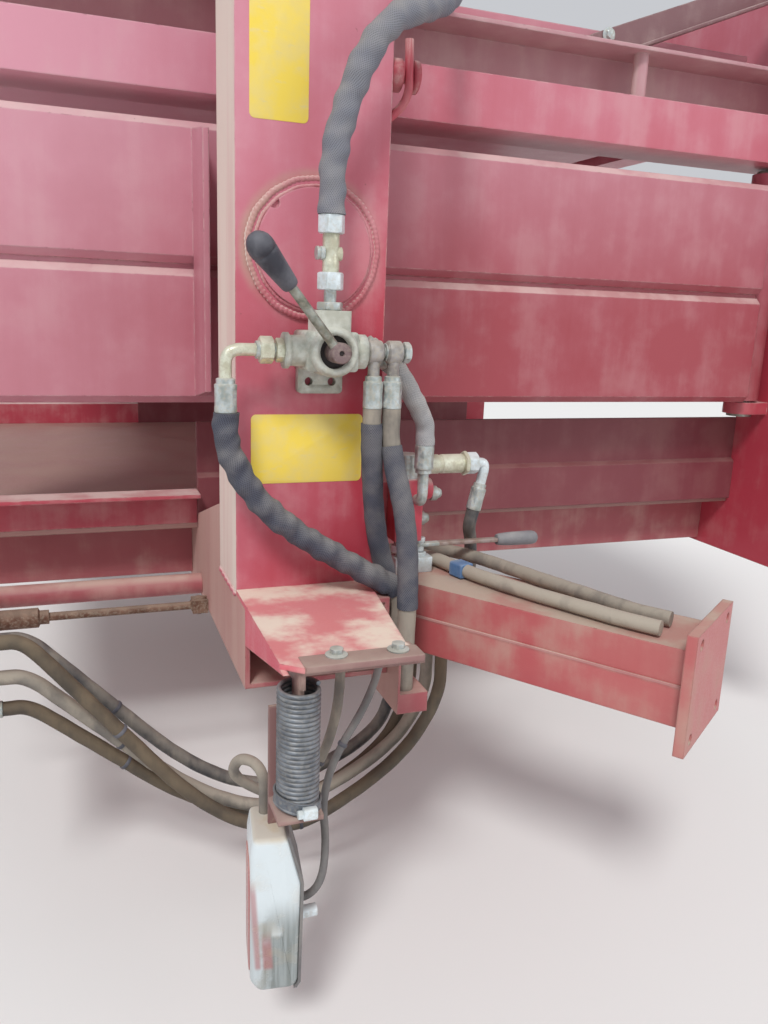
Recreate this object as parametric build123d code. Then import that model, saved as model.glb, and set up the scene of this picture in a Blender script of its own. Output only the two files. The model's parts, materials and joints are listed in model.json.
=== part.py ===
from build123d import *
import math
import os

# Bale-chamber density section of a square baler: an arch with a cross-beam, three hinged
# pressure doors, four rams, a hand valve station, hoses and two spring-hung tail lamps.
# Millimetres. X points to the front of the machine, Y to its left side, Z up.
# The origin is the centre of the front mounting face.

# Chamber
CHAMBER_W = 1200.0
FLOOR_TOP = -339.0
FLOOR_T = 8.0
REAR_X = -1540.0
FRONT_X = 0.0

# Front hinge frame
RING_D = 65.0
RING_SIDE = 180.0
RING_GAP = 4.0
RING_WALL = 8.0
RING_TOP = 600.0
FLANGE_T = 15.0
FLANGE_OUT = 50.0
MOUNT_SPACING_Z = 760.0
MOUNT_HOLE_D = 22.0

# Arch and cross-beam
POST_X = -1020.0
POST_W = 180.0
POST_D = 118.0
POST_WALL = 8.0
RAM_ROOM = 240.0
ARCH_CHAMFER = 180.0
BEAM_TOP = FLOOR_TOP - FLOOR_T
BEAM_H = 100.0
BEAM_WALL = 6.0
BEAM_OUT = 56.0
GUSSET_T = 8.0
GUSSET_RUN = 292.0
GUSSET_RISE = 88.0

# Doors
DOOR_D = 100.0
DOOR_PLATE = 6.0
DOOR_SKIN = 5.0
DOOR_BEND = 10.0
SIDE_DOOR_BOTTOM = -140.0
SIDE_DOOR_TOP = 233.0
SIDE_DOOR_GROOVE = 47.0
GROOVE_W = 7.0
GROOVE_D = 14.0
DOOR_FRONT_X = -133.0
HINGE_X = -102.0
HINGE_PIN_D = 30.0
HINGE_BARREL_D = 60.0
HINGE_WEB_T = 20.0
HINGE_LUG_T = 22.0
HINGE_LUG_GAP = 3.0
PIN_GAP = 0.5
PIN_HEAD_D = 45.0
PIN_HEAD_T = 5.0
RIB_X = -1123.0
RIB_T = 8.0
RIB_OUT = 95.0
RIB_CHAMFER = 15.0
TOP_DOOR_GAP = 10.0
TOP_DOOR_BOTTOM = 361.0
TOP_RIB_COUNT = 6
TOP_RAM_RIB = 1
TOP_RIB_W = 90.0

# Rails and panels
RAIL_BOTTOM = 267.0
RAIL_H = 74.0
RAIL_WALL = 6.0
CHANNEL_TOP = 421.0
CHANNEL_T = 6.0
CHANNEL_SETBACK = 22.0
SPACER_W = 80.0
STAY_X = -480.0
STAY_ANGLE = 24.0
STAY_FOOT = 70.0
STAY_NOSE = 20.0
STAY_H = 45.0
STAY_T = 8.0
STAY_SETBACK = 30.0
STAY_POST_X = -400.0
STAY_POST_D = 24.0
PANEL_TOP = -179.0
PANEL_STEP = -259.0
PANEL_STEP_OUT = 14.0
PANEL_T = 6.0
LIP_TOP = -285.0
LIP_D = 40.0
FLOOR_BEAM_SETBACK = 60.0
FLOOR_BEAM_W = 60.0
FLOOR_BEAM_H = 92.0
FLOOR_BEAM_WALL = 5.0
TUBE_D = 32.0
TUBE_WALL = 4.0
TUBE_SETBACK = 40.0
TUBE_Z = -428.0

# Rams
RAM_Z = 62.0
BARREL_D = 110.0
BARREL_OUT = 10.0
BARREL_GAP = 0.3
BARREL_CAP = 15.0
ROD_D = 50.0
ROD_GAP = 0.5
ROD_IN = 60.0
PIN_FROM_FACE = 180.0
EYE_T = 34.0
EYE_R = 34.0
EYE_SLOT = 14.0
EYE_NECK = 6.0
RAM_PIN_D = 25.0
RAM_PIN_HEAD = 6.0
LUG_T = 14.0
LUG_GAP = 2.0
LUG_R = 30.0
COVER_R = 76.0
COVER_T = 3.0
COVER_PLATE_R = 67.0
COVER_PLATE_T = 5.0
COVER_NOTCH_D = 12.0
COVER_NOTCH_TURN = 135.0

# The selector valve and everything near it is placed by three measures: across from the leg's
# centre line, out from the leg's outer face, and up from the lever's hub.
# A turned form is a table of distance along its axis and radius.
# A stack of fittings is a table of kind, start, end and size across, measured from the hub
HUB_Z = -50.0
PORT_OUT = 45.0

# Selector valve
VALVE_X = 8.0
VALVE_BODY = ((0.0, 20.0), (12.0, 24.0), (18.0, 28.0), (66.0, 28.0), (70.0, 27.5), (75.0, 24.5))
SEAT_D = 37.0
SEAT_OUT = 64.0
PORT_LEFT = ((14.0, 18.0), (46.0, 17.0), (48.0, 20.0), (53.0, 20.0))
PORT_RIGHT = ((14.0, 19.0), (30.0, 17.5), (32.0, 19.5), (42.0, 19.5))
PORT_REAR = (18.0, 10.0)
PORT_REAR_D = 22.0
TOP_BOSS = 41.0
TOP_BOSS_TOP = 45.0
CAST_FILLET = 5.0
SADDLE_W = 60.0
SADDLE_H = 44.0
SADDLE_OUT = 62.0
FOOT_W = 54.0
FOOT_T = 12.0
FOOT_BOTTOM = -51.0
FOOT_TOP = -10.0
FOOT_HOLE_D = 10.0
FOOT_HOLE_PITCH = 28.0
FOOT_HOLE_UP = 14.0

# Its lever has a hub in the valve's seat, a bar and a turned grip
LEVER_GAP = 0.5
LEVER_HUB_D = 23.0
LEVER_HUB_OUT = 96.0
LEVER_DIMPLE_D = 5.0
LEVER_DIMPLE_T = 2.0
LEVER_BAR_D = 10.5
LEVER_BAR_OUT = 86.0
GRIP_FOOT = (-48.0, 108.0, 62.0)
GRIP_TIP = (-92.0, 124.0, 118.0)
GRIP = ((0.0, 9.0), (4.0, 10.5), (44.0, 13.5), (54.0, 14.5), (64.0, 13.6), (70.0, 10.5), (74.0, 5.0))

# Fittings on the valve's ports
TOP_STACK = (("hexagon", 45.0, 54.0, 27.0), ("round", 54.0, 67.0, 14.0), ("hexagon", 67.0, 86.0, 27.0),
             ("round", 86.0, 127.0, 19.0), ("hexagon", 127.0, 147.0, 27.0))
TEST_PORT_D = 15.0
TEST_PORT_UP = 106.0
TEST_PORT_ENDS = (-17.0, 12.0)
LEFT_STACK = (("hexagon", 53.0, 62.0, 24.0), ("round", 62.0, 65.0, 16.0), ("hexagon", 65.0, 80.0, 27.0),
              ("round", 80.0, 84.0, 20.0))
RIGHT_STACK = (("round", 42.0, 44.0, 20.0), ("round", 44.0, 90.0, 12.0), ("hexagon", 90.0, 98.0, 22.0))
BANJO = ((0.0, 10.0), (3.0, 13.5), (18.0, 13.5), (21.0, 10.0))
BANJO_FACES = (44.0, 68.0)
BANJO_L = 21.0
BEND_D = 14.0
FERRULE = ((0.0, 0.68), (1.0, 0.84), (6.0, 0.84), (7.0, 1.0), (36.0, 1.0), (38.0, 0.96))
FERRULE_L = 38.0
FERRULE_D = 25.0
SMALL_FERRULE_D = 21.0
BANJO_FERRULE_D = 23.0
FERRULE_DROP = 27.0
LEFT_DROP_X = -109.0
LEFT_DROP = 31.0
REAR_NECK_X = (44.0, 60.0)
REAR_NECK_DIP = 0.75

# Hoses
HOSE_D = 22.0
TOP_HOSE_D = 28.0
WRAPPED_HOSE_D = 27.0
THIN_HOSE_D = 18.0
CABLE_D = 9.0
LOOP_D = 12.0
BEND_SHARE = 0.45

# Second valve block beside the leg's front side, with a round cap and two dome nuts
BLOCK_X0 = 126.0
BLOCK_X1 = 165.0
BLOCK_IN = 28.0
BLOCK_D = 40.0
BLOCK_TOP = -168.0
BLOCK_BOTTOM = -252.0
BRACKET_T = 8.0
CAP_D = 30.0
CAP_UP = -184.0
CAP_L = 17.0
DOME_NUTS = ((182.0, -191.0), (165.0, -225.0))
DOME_NUT = ((0.0, 10.0), (9.0, 10.0), (9.5, 7.5), (14.0, 6.5), (17.0, 3.0))
INLET_X = 155.0
INLET_IN = 10.0
INLET_TOP = -118.0
INLET_BOTTOM = -194.0
ADAPTER_UP = -151.0
ADAPTER_BASE_X = 147.0
ADAPTER_BASE_D = 30.0
ADAPTER_STACK = (("round", 139.0, 220.0, 26.0), ("hexagon", 220.0, 226.0, 30.0), ("hexagon", 226.0, 241.0, 27.0))
ADAPTER_BEND = ((249.0, 0.0), (264.0, 0.0), (257.4, -28.6))
BRANCH_RUN = 24.0

# Shut-off valve under the second block, with a flat lever on its stem
SHUTOFF_X0 = 130.0
SHUTOFF_X1 = 184.0
SHUTOFF_IN = 30.0
SHUTOFF_W = 28.0
SHUTOFF_TOP = -276.0
SHUTOFF_PIPE_X = 140.0
SHUTOFF_PIPE_D = 16.0
STEM_X = 169.0
STEM_D = 12.0
STEM_DEPTH = 9.0
BAR_UP = -261.0
BAR_W = 12.0
BAR_T = 5.0
BAR_TAIL = 10.0
BAR_GRIP_X = 286.0
BAR_GRIP = ((0.0, 7.0), (4.0, 10.0), (58.0, 10.0), (64.0, 7.0))

# Lamp, its shelf and its spring. The lamp hangs turned a little on its spring
SHELF_T = 6.0
SHELF_OUT = 247.0
SHELF_OUTLINE = ((-90, 0), (80, 0), (50, 209), (57, 245), (-70, SHELF_OUT), (-90, 230))
SHELF_FLANGE_H = 45.0
STRAP_OUTS = (195.0, 240.0)
STRAP_XS = (-72.0, 60.0)
STRAP_SHOULDER = 15.0
TONGUE_OUTS = (209.0, 235.0)
TONGUE_DROP = 72.0
SPRING_X = -68.0
SPRING_OUT = 222.0
SPRING_D = 45.0
SPRING_WIRE = 6.5
SPRING_TURNS = 21
HANGER_XS = (-93.0, -63.0)
HANGER_OUTS = (194.0, 198.0)
HANGER_TOP = 135.0
HANGER_FOOT_X = -46.0
PLUG_GAP = 0.5
PLUG_UP = 26.0
LAMP_GAP = 26.0
LAMP_OUTLINE = ((-24, 0), (12, 0), (27, -56), (25, -176), (20, -184), (-18, -184), (-27, -171), (-27, -18))
LAMP_W = 70.0
LAMP_X = -86.0
LAMP_OUT = 194.0
LAMP_TURN = -8.0
LAMP_FILLET = 5.0
LAMP_STUD = (-36.0, 190.0)
LAMP_STUD_D = 14.0
LAMP_STUD_IN = 34.0
LAMP_STUD_DROP = 123.5
LENS_T = 4.0
LENS_W = 54.0
LENS_LEVELS = (-166.0, -34.0)
CABLE_POINTS = ((44, 150, -297), (44, 150, -365), (-22, 156, -470), (-8, 190, -610), (-36, 190, -610))
LOOP_POINTS = ((14, 100, -297), (14, 100, -440), (-40, 102, -530), (-118, 112, -478), (-114, 140, -434),
               (-92, 174, -434), (-92, 174, -486.5))

# Clamp where the valve's hoses leave the cross-beam's front side
CLAMP_W = 40.0
CLAMP_H = 26.0
CLAMP_OUT = 95.0
CLAMP_TOP = -410.0
CLAMP_STRIP_T = 3.0
CLAMP_STRIP_TOP = -340.0

# Arm and the bracket on its inner side
ARM_ANGLE = 55.0
ARM_W = 110.0
ARM_H = 90.0
ARM_L = 440.0
ARM_WALL = 6.0
ARM_INSET = 60.0
ARM_PLATE_T = 12.0
ARM_PLATE_W = 150.0
ARM_PLATE_H = 140.0
ARM_HOLE_PITCH = 110.0
ARM_HOLE_D = 13.0
ARM_HOSE_OUTS = (-86.0, -110.0)
ARM_HOSE_UP = -286.0
ARM_NECK_L = 6.0
BRANCH_END = (276.0, -84.0)
BRANCH_SEAT_UP = -378.0
BRANCH_SEAT_T = 8.0
BRANCH_SEAT_R = 24.0

# Rope hook on the leg's front side
HOOK_UP = 312.0
HOOK_IN = 20.0
HOOK_BOSS = ((0.0, 18.0), (15.0, 18.0))
HOOK_BAR_D = 10.0
HOOK_DISC = ((14.0, 8.0), (29.0, 8.0), (29.0, 18.0), (36.0, 18.0))
HOOK_BAR = ((84.0, 257.0), (113.0, 284.0), (111.0, 348.0))

# Bracket behind the cross-beam that holds the hose bundle and the thin rod
REAR_BRACKET_X = -412.0
REAR_BRACKET_T = 8.0
REAR_BRACKET_INS = (34.0, 318.0)
REAR_BRACKET_TOP = -326.0
REAR_BRACKET_BOTTOM = -480.0
DRAW_ROD_D = 12.0
DRAW_ROD_IN = 240.0
DRAW_ROD_UP = -392.0
DRAW_ROD_EYE_D = 26.0
DRAW_ROD_EYE_T = 12.0
DRAW_ROD_PIN_D = 10.0
DRAW_ROD_LUG_T = 6.0
DRAW_ROD_GAP = 26.0
DRAW_ROD_CLEVIS = ((0.0, 14.0), (52.0, 14.0), (54.0, 10.0), (66.0, 10.0))

# The bundle's hoses, each with its distance in from the leg's face, its height at the rear bracket,
# the corners of its hanging loop and its place under the arm
BUNDLE_RUN_X = -335.0
BUNDLE_LOW_X = -60.0
BUNDLE_RISE_X = 140.0
BUNDLE_TURN_UP = -500.0
BUNDLE = ((46.0, -350.0, -696.0, -600.0, 212.0), (68.0, -404.0, -672.0, -584.0, 199.0),
          (90.0, -455.0, -690.0, -596.0, 184.0), (112.0, -372.0, -664.0, -576.0, 168.0))

# Hose runs
TOP_HOSE = ((8, 45, 147), (8, 45, 225), (50, 64, 342), (140, 24, 380), (252, -200, 488), (252, -240, 488))
TOP_HOSE_BEND = ((252, -278, 488), (252, -300, 488), (252, -300, 471))
TOP_HOSE_BEND_D = 12.0
LEFT_HOSE = ((-109, 45, -69), (-109, 45, -112), (-62, 45, -190), (70, 45, -272), (108, 45, -286), (108, 45, -410))
VALVE_HOSE_1 = ((62.5, 45, -65), (62.5, 45, -110), (80, 20, -225), (107, 13, -300), (107, 13, -410))
VALVE_HOSE_2 = ((86.5, 45, -65), (86.5, 45, -112), (105, 77, -215), (105, 77, -410))
REAR_RUN = 20.0
VALVE_HOSE_3 = ((155, -10, -90), (155, -10, -118))
BRANCH_CORNER_UP = -282.0
ARM_HOSE_CORNERS = (((190, -86), (226, 56)), ((236, -110),))
ARM_HOSE_OFFSETS = (20.0, 58.0)
ARM_HOSE_LAST_TURN = 360.0

os.makedirs("parts", exist_ok=True)

HALF_W = CHAMBER_W / 2
DOOR_FACE = HALF_W + DOOR_D
POST_FACE = DOOR_FACE + RAM_ROOM
ARCH_TOP = TOP_DOOR_BOTTOM + DOOR_D + RAM_ROOM
RING_OUT = HALF_W + RING_SIDE
MOUNT_SPACING_Y = 2 * RING_OUT + FLANGE_OUT
NODES = {}

def block(x0, x1, y0, y1, z0, z1):
    """A box given by its limits along each axis."""
    size = (abs(x1 - x0), abs(y1 - y0), abs(z1 - z0))
    return Pos((x0 + x1) / 2, (y0 + y1) / 2, (z0 + z1) / 2) * Box(*size)


def rod(start, end, diameter):
    """A round bar from one point to another."""
    start, end = Vector(*start), Vector(*end)
    plane = Plane(origin=start, z_dir=end - start)
    return extrude(plane * Circle(diameter / 2), (end - start).length)


def hexagon(start, end, across_flats):
    """A hexagonal nut or body between two points of its axis."""
    start, end = Vector(*start), Vector(*end)
    plane = Plane(origin=start, z_dir=end - start)
    return extrude(plane * RegularPolygon(across_flats / 2, 6, major_radius=False), (end - start).length)


def turned(start, toward, table):
    """A body of revolution from rows of distance along its axis and radius."""
    start, toward = Vector(*start), Vector(*toward)
    outline = [(0, table[0][0]), *[(radius, along) for along, radius in table], (0, table[-1][0])]
    return Plane(origin=start, z_dir=toward - start) * revolve(Plane.XZ * Polygon(*outline, align=None), Axis.Z)


def ferrule(start, toward, diameter):
    """A crimped hose end that begins at one point and heads for another."""
    return turned(start, toward, [(along, share * diameter / 2) for along, share in FERRULE])


def stack(table, place):
    """Round and hexagonal fittings in a row. The place function turns a distance into a point."""
    pieces = Part()
    for kind, start, end, size in table:
        shape = rod if kind == "round" else hexagon
        pieces += shape(place(start), place(end), size)
    return pieces


def slab_yz(points, x0, x1):
    """A plate of any outline in Y and Z, between two values of X."""
    plane = Plane(origin=(x0, 0, 0), x_dir=(0, 1, 0), z_dir=(1, 0, 0))
    return extrude(plane * Polygon(*points, align=None), x1 - x0, dir=(1, 0, 0))


def slab_xy(points, z0, z1):
    """A plate of any outline in X and Y, between two values of Z."""
    return extrude(Pos(0, 0, z0) * Polygon(*points, align=None), z1 - z0, dir=(0, 0, 1))


def local(x, out, z):
    """A point given from the leg's centre line, its outer face and the lever's hub."""
    return (POST_X + x, -POST_FACE - out, HUB_Z + z)


def local_block(xs, outs, zs):
    """A box given by its limits in the leg's own measures."""
    (x0, y0, z0), (x1, y1, z1) = local(xs[0], outs[0], zs[0]), local(xs[1], outs[1], zs[1])
    return block(x0, x1, y0, y1, z0, z1)


def bent_bar(points, diameter):
    """A bar of straight runs and tangent arcs. Each arc is as large as its runs allow."""
    radii = []
    for before, corner, after in zip(points, points[1:], points[2:]):
        into = Vector(*corner) - Vector(*before)
        out_of = Vector(*after) - Vector(*corner)
        turn = math.radians(into.get_angle(out_of))
        radii.append(BEND_SHARE * min(into.length, out_of.length) / math.tan(turn / 2))
    path = FilletPolyline(*points, radius=radii)
    section = Plane(origin=path @ 0, z_dir=path % 0) * Circle(diameter / 2)
    return sweep(section, path), path.length, min(radii)


def hose(name, points, diameter):
    """A bent bar placed in the leg's own measures, with its length and smallest bend printed."""
    tube, length, radius = bent_bar([local(*point) for point in points], diameter)
    expected = length * math.pi * diameter ** 2 / 4
    print(f"{name}: length {length:.0f}, smallest radius {radius:.0f}"
          f" = {radius / diameter:.1f} dia, volume ratio {tube.volume / expected:.4f}")
    return tube


def both_sides(name, shape):
    """Keep a piece for the right side and its mirror image for the left."""
    NODES[f"{name}_right"] = shape
    NODES[f"{name}_left"] = mirror(shape, about=Plane.XZ)

# Front hinge frame, a ring of box section with a bolt flange round its front face
ring_open = HALF_W + RING_GAP
ring_bottom = BEAM_TOP - BEAM_H
flange_out = RING_OUT + FLANGE_OUT
ring = block(-RING_D, FRONT_X, -RING_OUT, RING_OUT, ring_bottom, RING_TOP)
ring += block(-FLANGE_T, FRONT_X, -flange_out, flange_out, ring_bottom, RING_TOP)
ring -= block(-RING_D, FRONT_X, -ring_open, ring_open, BEAM_TOP, TOP_DOOR_BOTTOM)
rear_wall, side_in, side_out = -RING_D + RING_WALL, ring_open + RING_WALL, RING_OUT - RING_WALL
for side in (-1, 1):
    ring -= block(rear_wall, -FLANGE_T, side * side_in, side * side_out, ring_bottom, RING_TOP - RING_WALL)
ring -= block(rear_wall, -FLANGE_T, -side_out, side_out, TOP_DOOR_BOTTOM + RING_WALL, RING_TOP - RING_WALL)
ring -= block(rear_wall, -FLANGE_T, -side_out, side_out, ring_bottom + RING_WALL, BEAM_TOP - RING_WALL)
for side in (-1, 1):
    for level in (-1, 1):
        hole_y, hole_z = side * MOUNT_SPACING_Y / 2, level * MOUNT_SPACING_Z / 2
        ring -= rod((-FLANGE_T, hole_y, hole_z), (FRONT_X, hole_y, hole_z), MOUNT_HOLE_D)

# Hinge lugs on the ring's rear face. Each is a plate with a round end about the pin
lug_r = HINGE_BARREL_D / 2
pin_hole_d = HINGE_PIN_D + 2 * PIN_GAP
hinge_y = HALF_W + DOOR_D / 2
hinge_z = TOP_DOOR_BOTTOM + DOOR_D / 2


def side_lug(bottom):
    """A lug for a side door's vertical pin, on the right side."""
    outline = Pos(HINGE_X, -hinge_y) * Circle(lug_r)
    outline += Pos((HINGE_X - RING_D) / 2, -hinge_y) * Rectangle(-RING_D - HINGE_X, 2 * lug_r)
    outline -= Pos(HINGE_X, -hinge_y) * Circle(pin_hole_d / 2)
    return extrude(Pos(0, 0, bottom) * outline, HINGE_LUG_T)


side_lug_levels = (SIDE_DOOR_BOTTOM - HINGE_LUG_GAP - HINGE_LUG_T, SIDE_DOOR_TOP + HINGE_LUG_GAP)
for level in side_lug_levels:
    lug = side_lug(level)
    ring += lug
    ring += mirror(lug, about=Plane.XZ)

top_half_w = HALF_W - TOP_DOOR_GAP
top_barrel_y = top_half_w - HINGE_LUG_T - HINGE_LUG_GAP
for side in (-1, 1):
    outline = Plane.XZ * (Pos(HINGE_X, hinge_z) * Circle(lug_r))
    outline += Plane.XZ * (Pos((HINGE_X - RING_D) / 2, hinge_z) * Rectangle(-RING_D - HINGE_X, 2 * lug_r))
    outline -= Plane.XZ * (Pos(HINGE_X, hinge_z) * Circle(pin_hole_d / 2))
    lug = extrude(outline, HINGE_LUG_T)
    lug_y = top_half_w if side > 0 else -top_barrel_y - HINGE_LUG_GAP
    ring += Pos(0, lug_y, 0) * lug
NODES["hinge_frame"] = ring

# Chamber floor, the beams under it and its side panels
floor_y = HALF_W + PANEL_T
NODES["floor_plate"] = block(REAR_X, -RING_D, -floor_y, floor_y, BEAM_TOP, FLOOR_TOP)
post_rear_x = POST_X - POST_W / 2
post_front_x = POST_X + POST_W / 2
beam_y = HALF_W - FLOOR_BEAM_SETBACK
floor_beam = Part() + [
    block(x0, x1, -beam_y, -beam_y + FLOOR_BEAM_W, BEAM_TOP - FLOOR_BEAM_H, BEAM_TOP)
    - block(x0, x1, -beam_y + FLOOR_BEAM_WALL, -beam_y + FLOOR_BEAM_W,
            BEAM_TOP - FLOOR_BEAM_H + FLOOR_BEAM_WALL, BEAM_TOP - FLOOR_BEAM_WALL)
    for x0, x1 in ((REAR_X, post_rear_x), (post_front_x, -RING_D))
]
NODES["floor_beams"] = floor_beam + mirror(floor_beam, about=Plane.XZ)

# The panel under the side door has a step along its middle. A low lip runs on to the rear
panel = slab_yz([(-HALF_W, FLOOR_TOP), (-HALF_W, PANEL_TOP), (-HALF_W - PANEL_T, PANEL_TOP),
                 (-HALF_W - PANEL_T, PANEL_STEP), (-HALF_W - PANEL_STEP_OUT, PANEL_STEP - PANEL_T),
                 (-HALF_W - PANEL_STEP_OUT, FLOOR_TOP)], post_rear_x, -RING_D)
both_sides("lower_panel", panel)
lip = block(REAR_X, post_rear_x, -HALF_W - PANEL_T, -HALF_W, FLOOR_TOP, LIP_TOP)
lip += block(REAR_X, post_rear_x, -HALF_W - PANEL_T - LIP_D, -HALF_W, LIP_TOP - PANEL_T, LIP_TOP)
NODES["floor_lips"] = lip + mirror(lip, about=Plane.XZ)


# Arch of hollow section, cut into two legs and a top piece at mitres through its knees
KNEE = math.sqrt(2) - 1
leg_knee = ARCH_TOP - ARCH_CHAMFER
arch_foot = BEAM_TOP


def arch_half(inset, foot):
    """Foot, knee and shoulder of the right half, moved in from the outer face."""
    return [(-POST_FACE + inset, foot),
            (-POST_FACE + inset, leg_knee - KNEE * inset),
            (-POST_FACE + ARCH_CHAMFER + KNEE * inset, ARCH_TOP - inset)]


def arch_band(first, last, foot):
    """The closed outline between two insets."""
    outer, inner = arch_half(first, foot), arch_half(last, foot)
    outer += [(-y, z) for y, z in reversed(outer)]
    inner += [(-y, z) for y, z in reversed(inner)]
    return outer + inner[::-1]


arch = slab_yz(arch_band(0, POST_D, arch_foot), post_rear_x, post_front_x)
arch -= slab_yz(arch_band(POST_WALL, POST_D - POST_WALL, arch_foot - POST_WALL),
                post_rear_x + POST_WALL, post_front_x - POST_WALL)
knee_out, knee_in = arch_half(0, arch_foot)[1], arch_half(POST_D, arch_foot)[1]
leg_zone = slab_yz([knee_out, knee_in, (knee_in[0], arch_foot), (knee_out[0], arch_foot)],
                   post_rear_x, post_front_x)

# Bores for the four rams, in the legs and in the top piece
side_ram = Plane(origin=(POST_X, -POST_FACE, RAM_Z), x_dir=(1, 0, 0), z_dir=(0, -1, 0))
rib_pitch = (2 * top_half_w - TOP_RIB_W) / (TOP_RIB_COUNT - 1)
top_ram_y = (TOP_RAM_RIB - (TOP_RIB_COUNT - 1) / 2) * rib_pitch
top_ram = Plane(origin=(POST_X, top_ram_y, ARCH_TOP), x_dir=(1, 0, 0), z_dir=(0, 0, 1))
bore = Cylinder(BARREL_D / 2 + BARREL_GAP, POST_D, align=(Align.CENTER, Align.CENTER, Align.MAX))
leg = (arch & leg_zone) - side_ram * bore
top_piece = arch - leg_zone - mirror(leg_zone, about=Plane.XZ)
top_piece -= top_ram * bore
top_piece -= mirror(top_ram * bore, about=Plane.XZ)
both_sides("post", leg)
NODES["arch_top"] = top_piece

# Lower cross-beam, open at both ends
beam_end = POST_FACE + BEAM_OUT
beam = block(post_rear_x, post_front_x, -beam_end, beam_end, BEAM_TOP - BEAM_H, BEAM_TOP)
beam -= block(post_rear_x + BEAM_WALL, post_front_x - BEAM_WALL, -beam_end, beam_end,
              BEAM_TOP - BEAM_H + BEAM_WALL, BEAM_TOP - BEAM_WALL)

# Gusset plates between the legs and the cross-beam
leg_inner = POST_FACE - POST_D
gusset_end = HALF_W + PANEL_STEP_OUT
gusset_low = GUSSET_RISE * (GUSSET_RUN - leg_inner + gusset_end) / GUSSET_RUN
gusset_outline = [(-leg_inner, BEAM_TOP), (-leg_inner, BEAM_TOP + GUSSET_RISE),
                  (-gusset_end, BEAM_TOP + gusset_low), (-gusset_end, BEAM_TOP)]
gussets = Part() + [slab_yz(gusset_outline, x, x + GUSSET_T)
                    for x in (post_rear_x, post_front_x - GUSSET_T)]
NODES["cross_beam"] = beam + gussets + mirror(gussets, about=Plane.XZ)

# Upper rail of box section beside the top door, held to the leg by a spacer
rail = block(REAR_X, -RING_D, -DOOR_FACE, -HALF_W, RAIL_BOTTOM, RAIL_BOTTOM + RAIL_H)
rail -= block(REAR_X, -RING_D, -DOOR_FACE + RAIL_WALL, -HALF_W - RAIL_WALL,
              RAIL_BOTTOM + RAIL_WALL, RAIL_BOTTOM + RAIL_H - RAIL_WALL)
rail += block(POST_X - SPACER_W / 2, POST_X + SPACER_W / 2, -leg_inner, -DOOR_FACE,
              RAIL_BOTTOM, RAIL_BOTTOM + RAIL_H)
both_sides("upper_rail", rail)

# Channel on the rail, open to the outside, with the stay that rises to the front frame
rail_top = RAIL_BOTTOM + RAIL_H
web_y = -HALF_W - CHANNEL_T
channel = slab_yz([(-HALF_W, rail_top), (-HALF_W, CHANNEL_TOP), (-DOOR_FACE + CHANNEL_SETBACK, CHANNEL_TOP),
                   (-DOOR_FACE + CHANNEL_SETBACK, CHANNEL_TOP - CHANNEL_T), (web_y, CHANNEL_TOP - CHANNEL_T),
                   (web_y, rail_top)], REAR_X, -RING_D)
stay_length_x = -RING_D - STAY_X
stay_rise = stay_length_x * math.tan(math.radians(STAY_ANGLE))
stay_y = -HALF_W - STAY_SETBACK
stay = Pos(0, stay_y, 0) * extrude(Plane.XZ * Polygon(
    (STAY_X, CHANNEL_TOP), (STAY_X + STAY_FOOT, CHANNEL_TOP), (-RING_D, CHANNEL_TOP + stay_rise - STAY_H),
    (-RING_D, CHANNEL_TOP + stay_rise), (STAY_X, CHANNEL_TOP + STAY_NOSE), align=None), STAY_T, dir=(0, 1, 0))
channel += stay
channel += rod((STAY_POST_X, stay_y - STAY_POST_D, rail_top), (STAY_POST_X, stay_y - STAY_POST_D, CHANNEL_TOP),
               STAY_POST_D)
both_sides("top_channel", channel)

# Tubes under the floor behind the cross-beam. The right one carries the hose bundle's bracket
tube_y = HALF_W + TUBE_SETBACK
tubes = local_block((REAR_BRACKET_X, REAR_BRACKET_X + REAR_BRACKET_T),
                    (-REAR_BRACKET_INS[1], -REAR_BRACKET_INS[0]), (REAR_BRACKET_BOTTOM, REAR_BRACKET_TOP))
for side in (-1, 1):
    tube_rear, tube_front = (REAR_X, side * tube_y, TUBE_Z), (post_rear_x, side * tube_y, TUBE_Z)
    tubes += rod(tube_rear, tube_front, TUBE_D)
    tubes -= rod(tube_rear, tube_front, TUBE_D - 2 * TUBE_WALL)
NODES["under_tubes"] = tubes

# Side door of two wide pressed channels on a plate, with a hinge barrel in front
door_half_groove = GROOVE_W / 2


def channel_outline(bottom, top, inset):
    """One channel's section, square at the plate and bent at its outer corners."""
    low, high, face = bottom + inset, top - inset, DOOR_FACE - inset
    bend = DOOR_BEND - inset
    return [(-HALF_W - DOOR_PLATE, low), (-HALF_W - DOOR_PLATE, high), (-face + bend, high),
            (-face, high - bend), (-face, low + bend), (-face + bend, low)]


side_door = block(REAR_X, DOOR_FRONT_X, -HALF_W - DOOR_PLATE, -HALF_W, SIDE_DOOR_BOTTOM, SIDE_DOOR_TOP)
for bottom, top in ((SIDE_DOOR_BOTTOM, SIDE_DOOR_GROOVE - door_half_groove),
                    (SIDE_DOOR_GROOVE + door_half_groove, SIDE_DOOR_TOP)):
    side_door += slab_yz(channel_outline(bottom, top, 0), REAR_X, DOOR_FRONT_X)
    side_door -= slab_yz(channel_outline(bottom, top, DOOR_SKIN), REAR_X, DOOR_FRONT_X - DOOR_SKIN)
side_door += block(REAR_X, DOOR_FRONT_X, -DOOR_FACE + GROOVE_D, -HALF_W,
                   SIDE_DOOR_GROOVE - door_half_groove, SIDE_DOOR_GROOVE + door_half_groove)
side_door += block(DOOR_FRONT_X, HINGE_X, -hinge_y - HINGE_WEB_T / 2, -hinge_y + HINGE_WEB_T / 2,
                   SIDE_DOOR_BOTTOM, SIDE_DOOR_TOP)
side_door += rod((HINGE_X, -hinge_y, SIDE_DOOR_BOTTOM), (HINGE_X, -hinge_y, SIDE_DOOR_TOP), HINGE_BARREL_D)
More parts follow.
